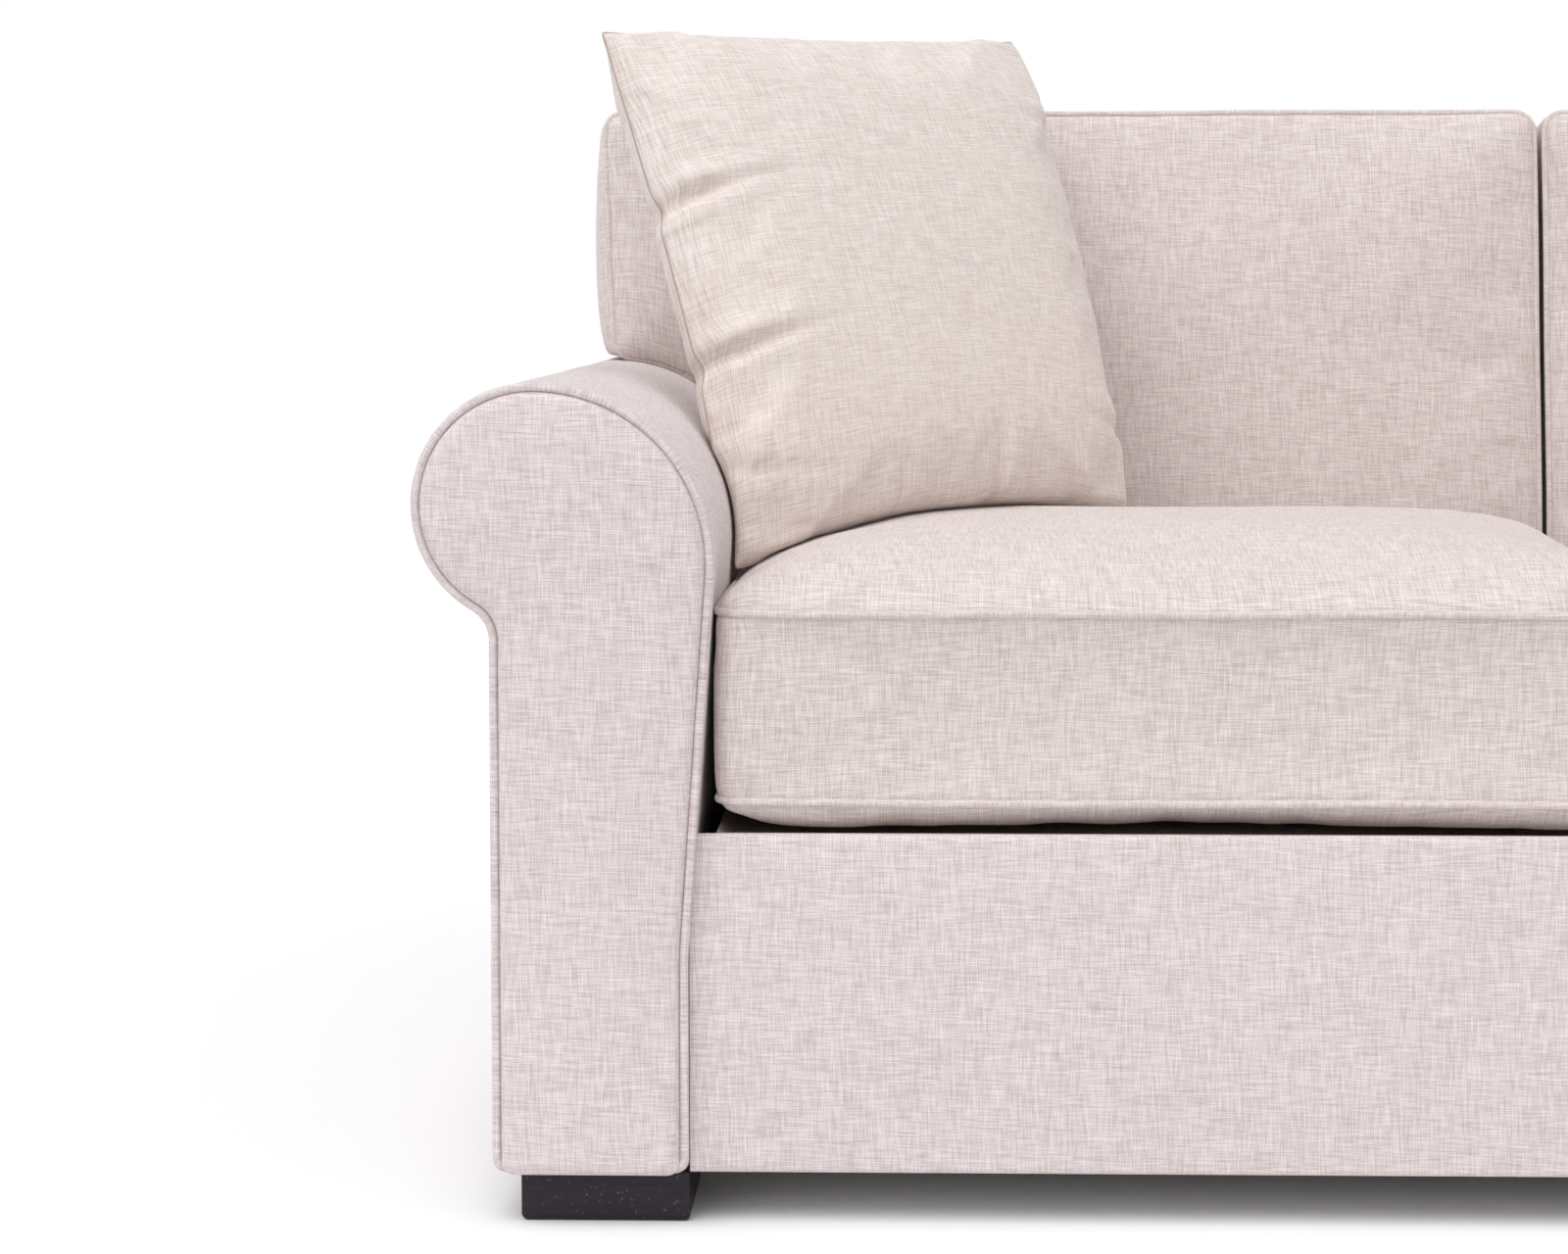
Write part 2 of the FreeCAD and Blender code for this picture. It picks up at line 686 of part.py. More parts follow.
def draw_in(shape, corners, radius, draw, height):
    """Hollow each long side of an upright cushion slightly between its corners."""
    corners = [FreeCAD.Vector(x, y, 0) for x, y in corners]
    for a, b in zip(corners, corners[1:] + corners[:1]):
        run = (b - a).normalize()
        outward = FreeCAD.Vector(run.y, -run.x, 0) * draw
        start, end = a + run * radius, b - run * radius
        if (end - start).dot(run) < 4 * radius:
            continue
        edges = [Part.Arc(start, (start + end) * 0.5 - outward, end).toShape(),
                 Part.makeLine(end, end + outward), Part.makeLine(end + outward, start + outward),
                 Part.makeLine(start + outward, start)]
        shape = shape.cut(Part.Face(Part.Wire(edges)).extrude(FreeCAD.Vector(0, 0, height)))
    return shape


def box_cushion(corners, under, under_run, boxing, crown, crown_run, radius, draw):
    """A box cushion that stands on z = 0: swollen below, crowned above, with drawn-in sides."""
    wires = []
    for turn in (90, 55, 25, 0):
        angle = math.radians(turn)
        inset = under_run * (1 - math.cos(angle))
        level = under * (1 - math.sin(angle))
        wires.append(soft_outline(corners, inset + draw / 2, radius, 0, level))
    wires.append(soft_outline(corners, 0, radius, 0, under + boxing / 2))
    for turn in (0, 20, 40, 62, 90):
        angle = math.radians(turn)
        inset = crown_run * (1 - math.cos(angle))
        level = under + boxing + crown * math.sin(angle)
        wires.append(soft_outline(corners, inset + draw / 2, radius, 0, level))
    return draw_in(loft_through(wires), corners, radius, draw, under + boxing + crown)


def make_cushion(label, shape, placement):
    cushion = doc.addObject("Part::Feature", label)
    cushion.Label = label
    cushion.Shape = shape
    cushion.Placement = placement
    return cushion


def make_seat_cushion(label, x_low, front):
    gap = number("cushion_gap")
    low, high = number(x_low) + gap, number(f"{x_low} + seat_width") - gap
    near_edge, far_edge = number(front), number("seat_rear")
    corners = [(low, near_edge), (high, near_edge), (high, far_edge), (low, far_edge)]
    crown_run = min(high - low, far_edge - near_edge) / 2 - number("cushion_flat")
    shape = box_cushion(corners, number("cushion_under"), number("cushion_under_run"),
                        number("cushion_boxing"), number("cushion_crown"), crown_run,
                        number("cushion_corner"), number("cushion_draw"))
    lift = FreeCAD.Vector(0, 0, number("deck_top + fit_gap"))
    keep(make_cushion(label, shape, FreeCAD.Placement(lift, FreeCAD.Rotation())))


def make_back_cushion(label, x_low, ear_left, ear_right):
    """A box cushion that leans on the back, with an ear over the arm on the sides that have one."""
    gap = number("cushion_gap")
    low, high = number(x_low) + gap, number(f"{x_low} + seat_width") - gap
    bottom = number("(fit_gap - back_cushion_rear * sin(back_rake)) / cos(back_rake)")
    top, ear = number("back_cushion_height"), number("ear_width")
    step = number("ear_bottom")
    corners = [(low, bottom), (high, bottom)]
    if ear_right:
        corners += [(high, step), (high + ear, step), (high + ear, top)]
    else:
        corners += [(high, top)]
    if ear_left:
        corners += [(low - ear, top), (low - ear, step), (low, step)]
    else:
        corners += [(low, top)]
    swell, boxing = number("back_cushion_rear"), number("back_cushion_boxing")
    shape = box_cushion(corners, swell, number("back_cushion_rear_run"), boxing,
                        number("back_cushion_thickness - fit_gap") - swell - boxing,
                        (top - step) / 2 - number("cushion_flat"),
                        number("back_cushion_corner"), number("cushion_draw"))
    lean = number("back_rake")
    away = FreeCAD.Vector(0, -number("fit_gap / cos(back_rake)"), 0)
    seat = FreeCAD.Vector(0, number("back_face"), number("deck_top")) + away
    turn = FreeCAD.Rotation(FreeCAD.Vector(1, 0, 0), 90 - lean)
    return make_cushion(label, shape, FreeCAD.Placement(seat, turn))


def make_throw_pillow():
    """A knife-edge pillow: two domes that meet at a drawn-in square seam."""
    half = number("pillow_half")
    corners = [(-half, -half), (half, -half), (half, half), (-half, half)]
    swell, run = number("pillow_thickness") / 2, half - number("pillow_flat")
    draw, radius = number("pillow_draw"), number("pillow_corner")
    wires = []
    for share in (-1, -0.85, -0.6, -0.3, 0, 0.3, 0.6, 0.85, 1):
        inset = run * (1 - math.sqrt(1 - abs(share)))
        wires.append(soft_outline(corners, inset, radius, 0 if share else draw, swell * share))
    shape = loft_through(wires)
    x_axis, y_axis, z_axis = FreeCAD.Vector(1, 0, 0), FreeCAD.Vector(0, 1, 0), FreeCAD.Vector(0, 0, 1)
    turn = (FreeCAD.Rotation(z_axis, number("pillow_yaw"))
            * FreeCAD.Rotation(x_axis, 90 - number("pillow_lean"))
            * FreeCAD.Rotation(z_axis, number("pillow_tilt")))
    centre = FreeCAD.Vector(number("pillow_x"), number("pillow_y"), number("pillow_z"))
    keep(make_cushion("throw_pillow", shape, FreeCAD.Placement(centre, turn)))


# The left section

arm_room = scroll_block("left_arm_room", "0 - fit_gap", "0", "arm_front - pad_thickness",
                        "rear + pad_thickness")
chaise_arm_room = mirror("chaise_arm_room", arm_room)
make_arms()

left_middle = ("seat_middle - rail_thickness / 2", "seat_middle + rail_thickness / 2",
               "frame_front + rail_thickness", "rear_rail_front")
make_base("left", "seat_left", "left_frame_end", "frame_front", left_middle)
make_webbing("left", "seat_left", "left_frame_end", "frame_front", 8, 4)
left_border = make_border("left_border_block", "post_in - pad_thickness", "left_end", "border_front",
                          "frame_front", lambda c: near(c.y, "border_front"))
keep(cut("left_front_border", left_border, arm_room))
keep(make_end_panel("left_end_panel", "left_frame_end", "frame_front"))
foot_rows = ("arm_front + foot_inset", "rear - foot_inset - foot_depth")
keep(make_feet("left_feet", [(x, y) for x in ("post_in - foot_width", "left_frame_end - foot_width")
                             for y in foot_rows]))
left_posts = ("seat_left", "seat_middle - post_thickness / 2", "left_frame_end - post_thickness")
make_back_frame("left", left_posts, "back_left + pad_thickness", "left_frame_end",
                "seat_left", "left_frame_end")
left_back = make_back_cover("left_back_shell", "back_left", "left_frame_end")
keep(cut("left_back_cover", left_back, arm_room))

# The chaise section

chaise_middle = ("chaise_frame_start + rail_thickness", "seat_right - rail_thickness",
                 "0 - rail_thickness / 2", "rail_thickness / 2")
make_base("chaise", "chaise_frame_start", "seat_right", "chaise_frame_front", chaise_middle)
make_webbing("chaise", "chaise_frame_start", "seat_right", "chaise_frame_front", 4, 9)
keep(make_border("chaise_front_border", "chaise_start", "chaise_post_in", "chaise_front",
                 "chaise_frame_front", lambda c: near(c.y, "chaise_front")))
keep(make_border("chaise_side_border", "seat_right", "chaise_post_in", "chaise_frame_front",
                 "arm_front - fit_gap", lambda c: near(c.x, "chaise_post_in")))
keep(make_end_panel("chaise_end_panel", "chaise_start", "chaise_frame_front"))
chaise_toe = "chaise_front + foot_inset"
keep(make_feet("chaise_feet", [("chaise_frame_start", chaise_toe), ("seat_right - foot_width", chaise_toe),
                               ("chaise_frame_start", foot_rows[1]), ("0 - post_in", foot_rows[0]),
                               ("0 - post_in", foot_rows[1])]))
chaise_posts = ("chaise_frame_start", "seat_right - post_thickness")
make_back_frame("chaise", chaise_posts, "chaise_frame_start", "0 - back_left - pad_thickness",
                "chaise_frame_start", "seat_right")
# The chaise's back is drawn on the left, where its arm end is low, and mirrored.
chaise_back = make_back_cover("chaise_back_shell", "back_left", "0 - chaise_frame_start")
keep(mirror("chaise_back_cover", cut("chaise_back_trimmed", chaise_back, arm_room)))

make_connectors()

# Loose cushions

make_seat_cushion("left_seat_cushion", "seat_left", "seat_front")
make_seat_cushion("middle_seat_cushion", "seat_middle", "seat_front")
make_seat_cushion("chaise_seat_cushion", "chaise_start", "chaise_front + border_lead")
# Each ear is hollowed to lie on its arm.
ear_room = scroll_block("left_ear_room", "0 - ear_gap", "0", "arm_front", "rear")
left_eared = make_back_cushion("left_eared_cushion", "seat_left", True, False)
keep(cut("left_back_cushion", left_eared, ear_room))
keep(make_back_cushion("middle_back_cushion", "seat_middle", False, False))
chaise_eared = make_back_cushion("chaise_eared_cushion", "chaise_start", False, True)
keep(cut("chaise_back_cushion", chaise_eared, mirror("chaise_ear_room", ear_room)))
make_throw_pillow()

# Check every object and write the sub-parts

doc.recompute()
for item in doc.Objects:
    if "Invalid" in item.State or "Error" in item.State:
        raise RuntimeError(f"{item.Label}: {item.State}")
os.makedirs("parts", exist_ok=True)
for node in nodes:
    if node.Shape.isNull() or not node.Shape.isValid() or not node.Shape.Solids:
        raise RuntimeError(f"{node.Label}: bad shape")
    node.Shape.exportStep(f"parts/{node.Label}.step")
print(len(nodes), "sub-parts written")
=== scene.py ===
# %% [markdown]
# # A sectional sofa in pale linen
# Two upholstered sections, hooked together, carry loose cushions. The timber, webbing, dust covers and
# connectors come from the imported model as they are. The feet and all the other cloth are made here.

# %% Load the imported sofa
import json
import math

import bmesh
import bpy
from bmesh.types import BMEdge, BMFace, BMVert
from mathutils import Matrix, Vector, noise
from mathutils.bvhtree import BVHTree


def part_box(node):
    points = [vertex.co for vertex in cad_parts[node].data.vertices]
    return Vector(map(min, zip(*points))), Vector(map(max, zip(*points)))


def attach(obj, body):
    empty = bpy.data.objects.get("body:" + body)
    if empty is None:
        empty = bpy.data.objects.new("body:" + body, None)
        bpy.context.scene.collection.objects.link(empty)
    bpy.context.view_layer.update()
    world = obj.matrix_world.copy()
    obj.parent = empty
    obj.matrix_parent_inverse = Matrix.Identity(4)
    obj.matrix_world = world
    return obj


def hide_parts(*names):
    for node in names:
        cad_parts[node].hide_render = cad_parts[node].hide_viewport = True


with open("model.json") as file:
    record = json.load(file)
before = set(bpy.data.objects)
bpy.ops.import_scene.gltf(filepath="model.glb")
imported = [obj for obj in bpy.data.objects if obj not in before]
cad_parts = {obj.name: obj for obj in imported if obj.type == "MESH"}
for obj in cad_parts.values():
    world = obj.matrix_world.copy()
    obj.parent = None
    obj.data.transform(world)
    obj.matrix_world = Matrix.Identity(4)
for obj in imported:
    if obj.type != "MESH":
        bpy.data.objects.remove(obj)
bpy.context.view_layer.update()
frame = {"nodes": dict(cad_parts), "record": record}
scene = bpy.context.scene

# %% [markdown]
# ## Where things are
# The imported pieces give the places, so no place is typed twice. The lengths further down are those of
# the sewing pattern, which a bounding box can't tell.

# %% Places read from the frame
ARM_LOW, ARM_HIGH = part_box("left_arm_cover")
ARM_TOP = ARM_HIGH.z
UNDERSIDE = ARM_LOW.z
PANEL_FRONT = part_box("left_arm_front_panel")[0].y
DECK_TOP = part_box("left_deck")[1].z
REAR, BACK_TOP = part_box("left_back_cover")[1].yz
SIDES = {"left": 1, "chaise": -1}
TINY = 1e-5
print("arm from", [round(x, 3) for x in ARM_LOW], "to", [round(x, 3) for x in ARM_HIGH])

# %% [markdown]
# ## The camera
# The photograph looks slightly down on the left end from a little over two and a half metres. A long
# lens, a small turn and a small shift give the same vanishing point.

# %% Camera
LENS, SENSOR = 77.985, 36
CAMERA_FROM_ARM = Vector((0.406, -2.6, 0.743))
PITCH, YAW = math.radians(4), math.radians(1.4)
SHIFT_X, SHIFT_Y = -0.044, -0.0735

camera_data = bpy.data.cameras.new("camera")
camera_data.sensor_width = SENSOR
camera_data.lens = LENS
camera_data.shift_x = SHIFT_X
camera_data.shift_y = SHIFT_Y
camera = bpy.data.objects.new("camera", camera_data)
camera.location = (ARM_LOW.x + CAMERA_FROM_ARM.x, PANEL_FRONT + CAMERA_FROM_ARM.y, CAMERA_FROM_ARM.z)
camera.rotation_euler = (math.pi / 2 - PITCH, 0, YAW)
scene.collection.objects.link(camera)
scene.camera = camera
print("lens", round(camera_data.lens, 1), "mm")

# %% [markdown]
# ## Studio light
# A pale sofa wants broad light. The world is an even white dome, and two wide suns, which light the
# whole floor alike, act as a soft box high on the left and a fill on the right. The background is white
# to the eye only, so it adds no light of its own.

# %% Shader nodes


def fill_in(tree, node, settings):
    """Set a node's properties and inputs. A value that is another node's output is linked."""
    for key, value in settings.items():
        if isinstance(value, bpy.types.NodeSocket):
            tree.links.new(value, node.inputs[key])
        elif isinstance(key, str) and hasattr(node, key):
            setattr(node, key, value)
        else:
            node.inputs[key].default_value = value


def add(tree, kind, settings=None):
    """Add a shader node and fill it in."""
    node = tree.nodes.new("ShaderNode" + kind)
    fill_in(tree, node, settings or {})
    return node


def combine(tree, operation, first, second):
    """Work out one value from two."""
    return add(tree, "Math", {"operation": operation, 0: first, 1: second}).outputs[0]


def rescale(tree, value, low, high, new_low=0.0, new_high=1.0):
    """Map the values from low to high onto a new range."""
    limits = {"From Min": low, "From Max": high, "To Min": new_low, "To Max": new_high}
    return add(tree, "MapRange", {"Value": value, **limits}).outputs[0]


# %% World and lamps
DOME_LIGHT = 0.56
DAYLIGHT = (0.99, 0.995, 1.015)
# Strength, turn about each axis and apparent width, in degrees
LAMPS = {"soft_box": (1.75, (30, 0, -42), 50), "fill": (0.6, (42, 0, 40), 70)}

scene.view_settings.view_transform = "Standard"
world = bpy.data.worlds.new("studio")
scene.world = world
world.use_nodes = True
tree = world.node_tree
tree.nodes.clear()
path = add(tree, "LightPath")
seen = path.outputs["Is Camera Ray"]
for ray in ("Is Glossy Ray", "Is Transmission Ray"):
    seen = combine(tree, "ADD", seen, path.outputs[ray])
tint = add(tree, "Mix", {"data_type": "RGBA", 0: seen, 6: (*DAYLIGHT, 1), 7: (1, 1, 1, 1)})
sky = add(tree, "Background", {"Color": tint.outputs[2], "Strength": rescale(tree, seen, 0, 1, DOME_LIGHT)})
add(tree, "OutputWorld", {"Surface": sky.outputs[0]})

for name, (strength, turn, width) in LAMPS.items():
    lamp = bpy.data.lights.new(name, "SUN")
    lamp.energy = strength
    lamp.color = DAYLIGHT
    lamp.angle = math.radians(width)
    holder = bpy.data.objects.new(name, lamp)
    holder.rotation_euler = [math.radians(angle) for angle in turn]
    scene.collection.objects.link(holder)
print("lamps", list(LAMPS))

# %% [markdown]
# ## Colours
# Colours are written as they look on a screen. Shaders work in linear light, so one function
# converts them.

# %% Colour helpers


def linear(hex_colour):
    """Turn an sRGB hex colour into linear red, green, blue and alpha."""
    channels = [int(hex_colour[i:i + 2], 16) / 255 for i in (0, 2, 4)]
    return [c / 12.92 if c <= 0.04045 else ((c + 0.055) / 1.055) ** 2.4 for c in channels] + [1]


def blend(tree, share, first, second):
    """Mix two colours, each a hex colour or another node's output."""
    first, second = [linear(paint) if isinstance(paint, str) else paint for paint in (first, second)]
    return add(tree, "Mix", {"data_type": "RGBA", 0: share, 6: first, 7: second}).outputs[2]


def speckle(tree, place, scale, detail, **more):
    """Noise of a given fineness."""
    settings = {"Scale": scale, "Detail": detail, "Vector": place, **more}
    return add(tree, "TexNoise", settings).outputs["Fac"]


def new_material(name):
    """An empty node material with its output and a principled shader."""
    material = bpy.data.materials.new(name)
    material.use_nodes = True
    tree = material.node_tree
    tree.nodes.clear()
    shader = add(tree, "BsdfPrincipled")
    add(tree, "OutputMaterial", {"Surface": shader.outputs[0]})
    return material, tree, shader


# %% [markdown]
# ## Linen-look upholstery cloth
# The cover is a plain weave of uneven polyester and linen yarn. Each yarn swells and thins along its
# length (these are slubs), so a crossing of long thin streaks shows, pale and deep, with no repeat. A tiled
# picture would repeat, so two stretched noises give it, one along each thread direction. A second pair
# marks the few heavy yarns. They read a UV map in metres, so the threads follow the cut of every panel.

# %% Linen material
WEAVE = "weave"
YARN, SLUB = 0.00055, 0.019
HEAVY_YARN, HEAVY_SLUB, HEAVY_MARK = 0.0008, 0.03, 0.35
STAGGER = 0.37
ACROSS, ALONG = Vector((1, 0, 0)), Vector((0, 1, 0))


def streaks(tree, place, yarn, slub, detail, seeds):
    """Noise stretched along each thread direction, in metres. Each yarn starts at its own place."""
    tones = []
    for thread, length, seed in ((ACROSS, ALONG, seeds[0]), (ALONG, ACROSS, seeds[1])):
        onward = length / slub + thread / yarn * STAGGER
        parts = [add(tree, "VectorMath", {"operation": "DOT_PRODUCT", 0: place, 1: step}).outputs["Value"]
                 for step in (thread / yarn, onward)]
        spot = add(tree, "CombineXYZ", {0: parts[0], 1: parts[1], 2: seed})
        tones.append(speckle(tree, spot.outputs[0], 1.0, detail, Roughness=0.55))
    return tones


def linen(name, pale, deep, slub):
    """Slub-yarn plain weave: matt, with a little sheen from loose fibre ends."""
    material, tree, shader = new_material(name)
    place = add(tree, "UVMap", {"uv_map": WEAVE}).outputs[0]
    yarns = combine(tree, "ADD", *streaks(tree, place, YARN, SLUB, 1.0, (0.3, 7.3)))
    heavy = combine(tree, "MAXIMUM", *streaks(tree, place, HEAVY_YARN, HEAVY_SLUB, 0.0, (3.3, 5.3)))
    cloth = blend(tree, rescale(tree, yarns, 0.7, 1.3), deep, pale)
    marked = rescale(tree, heavy, 0.7, 0.84, 0.0, HEAVY_MARK)
    bump = add(tree, "Bump", {"Strength": 0.3, "Distance": 0.0005, "Height": yarns})
    fill_in(tree, shader, {"Base Color": blend(tree, marked, cloth, slub), "Normal": bump.outputs[0],
                           "Roughness": 0.88, "Specular IOR Level": 0.2, "Sheen Weight": 0.22,
                           "Sheen Roughness": 0.5})
    return material


COVER = linen("linen_cover", "ECE2E0", "BAADAA", "EFE8E6")
# The cushions' copy of the linen is a little darker and warmer than the cover's: painted shade, making up for
# the extra light on their tops and for warm light bounced between them.
CUSHION = linen("linen_cushion_shaded", "EADFDB", "B9AAA4", "EFE7E3")
# The pillow's copy of the linen is lighter than the cover's: painted light for the light falling on its face.
PILLOW = linen("linen_pillow_lit", "EFE5DF", "C9B9B1", "F4EDE8")
# Dark cloth for the cord along the pillow's knife edge: painted shade for the crease of that seam.
SEAM_SHADE = linen("linen_seam_shade", "BFAB9F", "A6938A", "CFBFB5")
print("linen yarns drawn", YARN * 1000, "mm apart")

# %% [markdown]
# ## Espresso-stained beech
# The feet are almost black, from stain under a satin lacquer. Grain barely shows, and a few pale specks of
# dust lie on it. Both are noises in the object's own metres, so no UV map is needed.

# %% Foot material
GRAIN, GRAIN_LENGTH = 0.004, 0.05


def stained_beech(name):
    """Dark stain on close-grained wood: satin gloss, faint grain, pale dust specks."""
    material, tree, shader = new_material(name)
    place = add(tree, "TexCoord").outputs["Object"]
    stretched = add(tree, "Mapping", {"Vector": place, "Scale": (1 / GRAIN_LENGTH, 1 / GRAIN, 1 / GRAIN)})
    grain = speckle(tree, stretched.outputs[0], 1.0, 4)
    stain = blend(tree, rescale(tree, grain, 0.3, 0.7), "130A16", "211626")
    dust = rescale(tree, speckle(tree, place, 420, 2), 0.66, 0.74, 0.0, 0.5)
    fill_in(tree, shader, {"Base Color": blend(tree, dust, stain, "8C8484"),
                           "Roughness": rescale(tree, grain, 0, 1, 0.38, 0.52), "Specular IOR Level": 0.35})
    return material


FOOT_WOOD = stained_beech("espresso_beech")

# %% [markdown]
# ## Hidden materials
# Lifting a cushion or turning the sofa over shows the rest: sawn timber, black elastic webbing, a
# beige deck cloth, pale dust cloth and zinc-plated connectors. Each gets a short recipe of its own.

# %% Timber, webbing, cloth and zinc
BANDS_PER_METRE = (6, 6, 40)
WAVE_REPEAT = 0.314


def sawn_timber(name):
    """Bare pine: long pale and dark bands along the board."""
    material, tree, shader = new_material(name)
    place = add(tree, "TexCoord").outputs["Object"]
    stretched = add(tree, "Mapping", {"Vector": place, "Scale": BANDS_PER_METRE})
    tone = rescale(tree, speckle(tree, stretched.outputs[0], 1.0, 5, Distortion=0.6), 0.35, 0.65)
    bump = add(tree, "Bump", {"Strength": 0.2, "Distance": 0.0005, "Height": tone})
    fill_in(tree, shader, {"Base Color": blend(tree, tone, "B98F5E", "DDBB8A"), "Normal": bump.outputs[0],
                           "Roughness": 0.75})
    return material


def woven_tape(name, deep, pale, rib):
    """Ribbed cloth: fine bands a few millimetres wide that catch the light in turn."""
    material, tree, shader = new_material(name)
    place = add(tree, "TexCoord").outputs["Object"]
    ribs = add(tree, "TexWave", {"bands_direction": "DIAGONAL", "Scale": WAVE_REPEAT / rib, "Distortion": 1.0,
                                 "Vector": place}).outputs["Fac"]
    tone = combine(tree, "MULTIPLY", ribs, speckle(tree, place, 300, 2))
    bump = add(tree, "Bump", {"Strength": 0.3, "Distance": 0.0004, "Height": ribs})
    fill_in(tree, shader, {"Base Color": blend(tree, tone, deep, pale), "Normal": bump.outputs[0],
                           "Roughness": 0.9})
    return material


def zinc_plate(name):
    """Pressed steel with a bright zinc coat: a metal with cloudy, slightly varied gloss."""
    material, tree, shader = new_material(name)
    cloud = speckle(tree, add(tree, "TexCoord").outputs["Object"], 90, 3)
    fill_in(tree, shader, {"Base Color": blend(tree, cloud, "A9ABAC", "C8CACA"),
                           "Roughness": rescale(tree, cloud, 0, 1, 0.3, 0.5), "Metallic": 1.0})
    return material


PLAIN_FINISHES = {
    "frame_timber": sawn_timber("sawn_pine"),
    "webbing": woven_tape("elastic_webbing", "141414", "3A3A3A", 0.003),
    "deck_cloth": woven_tape("deck_cloth", "B9AAA0", "DDD2C9", 0.002),
    "dust_cloth": woven_tape("dust_cloth", "C4C0BE", "E4E1DF", 0.002),
    "connector_steel": zinc_plate("zinc_plate"),
    "dark_wood": FOOT_WOOD,
}
slots = {part["node"]: part["material_slot"] for part in frame["record"]["subparts"]}
for node, shown in frame["nodes"].items():
    if slots[node] in PLAIN_FINISHES:
        shown.data.materials.clear()
        shown.data.materials.append(PLAIN_FINISHES[slots[node]])
print("plain finishes on", sum(slot in PLAIN_FINISHES for slot in slots.values()), "nodes")

# %% [markdown]
# ## Turning a mesh into a piece of the sofa
# Every piece below ends the same way: its mesh becomes a smooth-shaded object, it rides on the body that
# carries it, and where an imported solid held its place, that solid is hidden.

# %% Piece helpers


def hand_over(mesh, name, material, body, node):
    """Make a mesh a smooth piece that rides on a body and, where one is named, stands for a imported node."""
    mesh.shade_smooth()
    mesh.materials.append(material)
    piece = bpy.data.objects.new(name, mesh)
    scene.collection.objects.link(piece)
    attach(piece, body)
    if node:
        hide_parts(node)
    return piece


def make_piece(bm, name, material, body, node, sharp=50):
    """Close a bmesh into a piece, creased where it bends by more than an angle in degrees."""
    mesh = bpy.data.meshes.new(name)
    bm.to_mesh(mesh)
    bm.free()
    piece = hand_over(mesh, name, material, body, node)
    mesh.set_sharp_from_angle(angle=math.radians(sharp))
    print(name, len(mesh.polygons), "faces")
    return piece


def make_cover(bm, side, name, node, sharp=50):
    """A piece of cover cloth, fixed to one of the sections."""
    return make_piece(bm, name, COVER, f"{side}_section", node, sharp)


# %% [markdown]
# ## Bmesh helpers
# A few moves come again and again. Bmesh operators return mixed lists of points, edges and faces, so
# one helper picks a kind.

# %% Bmesh helpers


def only(kind, elements):
    """The elements of one kind among those that an operator returns."""
    return [item for item in elements if isinstance(item, kind)]


def extrude(bm, faces, shift):
    """Pull faces out and keep the old ones. Returns the new points and the new faces."""
    swept = bmesh.ops.extrude_face_region(bm, geom=faces, use_keep_orig=True)["geom"]
    points = only(BMVert, swept)
    bmesh.ops.translate(bm, vec=shift, verts=points)
    return points, only(BMFace, swept)


def soften(bm, edges, radius, segments, limited=False):
    """Bevel edges round, limited or not to where the bevels would meet."""
    bmesh.ops.bevel(bm, geom=edges, offset=radius, segments=segments, profile=0.5, affect="EDGES",
                    material=-1, clamp_overlap=limited)


def lay_flat_weave(bm):
    """Give each face weave coordinates in metres, seen along the axis that it faces most."""
    bmesh.ops.triangulate(bm, faces=[f for f in bm.faces if len(f.verts) > 4])
    weave = bm.loops.layers.uv.new(WEAVE)
    bm.normal_update()
    for face in bm.faces:
        facing = [abs(part) for part in face.normal]
        across, along = ((1, 2), (0, 2), (0, 1))[facing.index(max(facing))]
        for loop in face.loops:
            loop[weave].uv = (loop.vert.co[across], loop.vert.co[along])


def mirror_if_right(bm, side):
    """Turn a piece drawn for the left arm into one for the right arm."""
    if SIDES[side] < 0:
        bmesh.ops.scale(bm, vec=(-1, 1, 1), verts=bm.verts)
        bmesh.ops.reverse_faces(bm, faces=bm.faces)


# %% [markdown]
# ## The scroll of the arm
# Seen from the front, the arm is a post that swells into a roll. Its outline is drawn with a pen: straight
# runs are extruded from the last point, and round runs are spun from it about their centre.

# %% Drawing the scroll
POST_WIDTH, CREST, OVERHANG, LIP = 0.154, 0.035, 0.060, 0.021
THROAT, EASE, SLANT = 0.026, 0.400, math.radians(4)
OUTER_ROLL, INNER_ROLL = CREST + OVERHANG, POST_WIDTH + LIP - CREST
POST_OUT = ARM_LOW.x + OVERHANG
HEM = 0.0105
ARC_STEP = math.radians(5)


def draw_to(bm, pen, target, step=None):
    """Extrude the last point in a straight run: at once, or in steps no longer than this."""
    run = Vector(target) - pen.co
    steps = math.ceil(run.length / step) if step else 1
    for _ in range(steps):
        pen = bmesh.ops.extrude_vert_indiv(bm, verts=[pen])["verts"][0]
        pen.co += run / steps
    return pen


def draw_arc(bm, pen, centre, turn):
    """Spin the last point about a centre, counter-clockwise as seen from the front."""
    steps = max(3, round(abs(turn) / ARC_STEP))
    swept = bmesh.ops.spin(bm, geom=[pen], cent=centre, axis=(0, -1, 0), angle=turn, steps=steps)
    return only(BMVert, swept["geom_last"])[0]


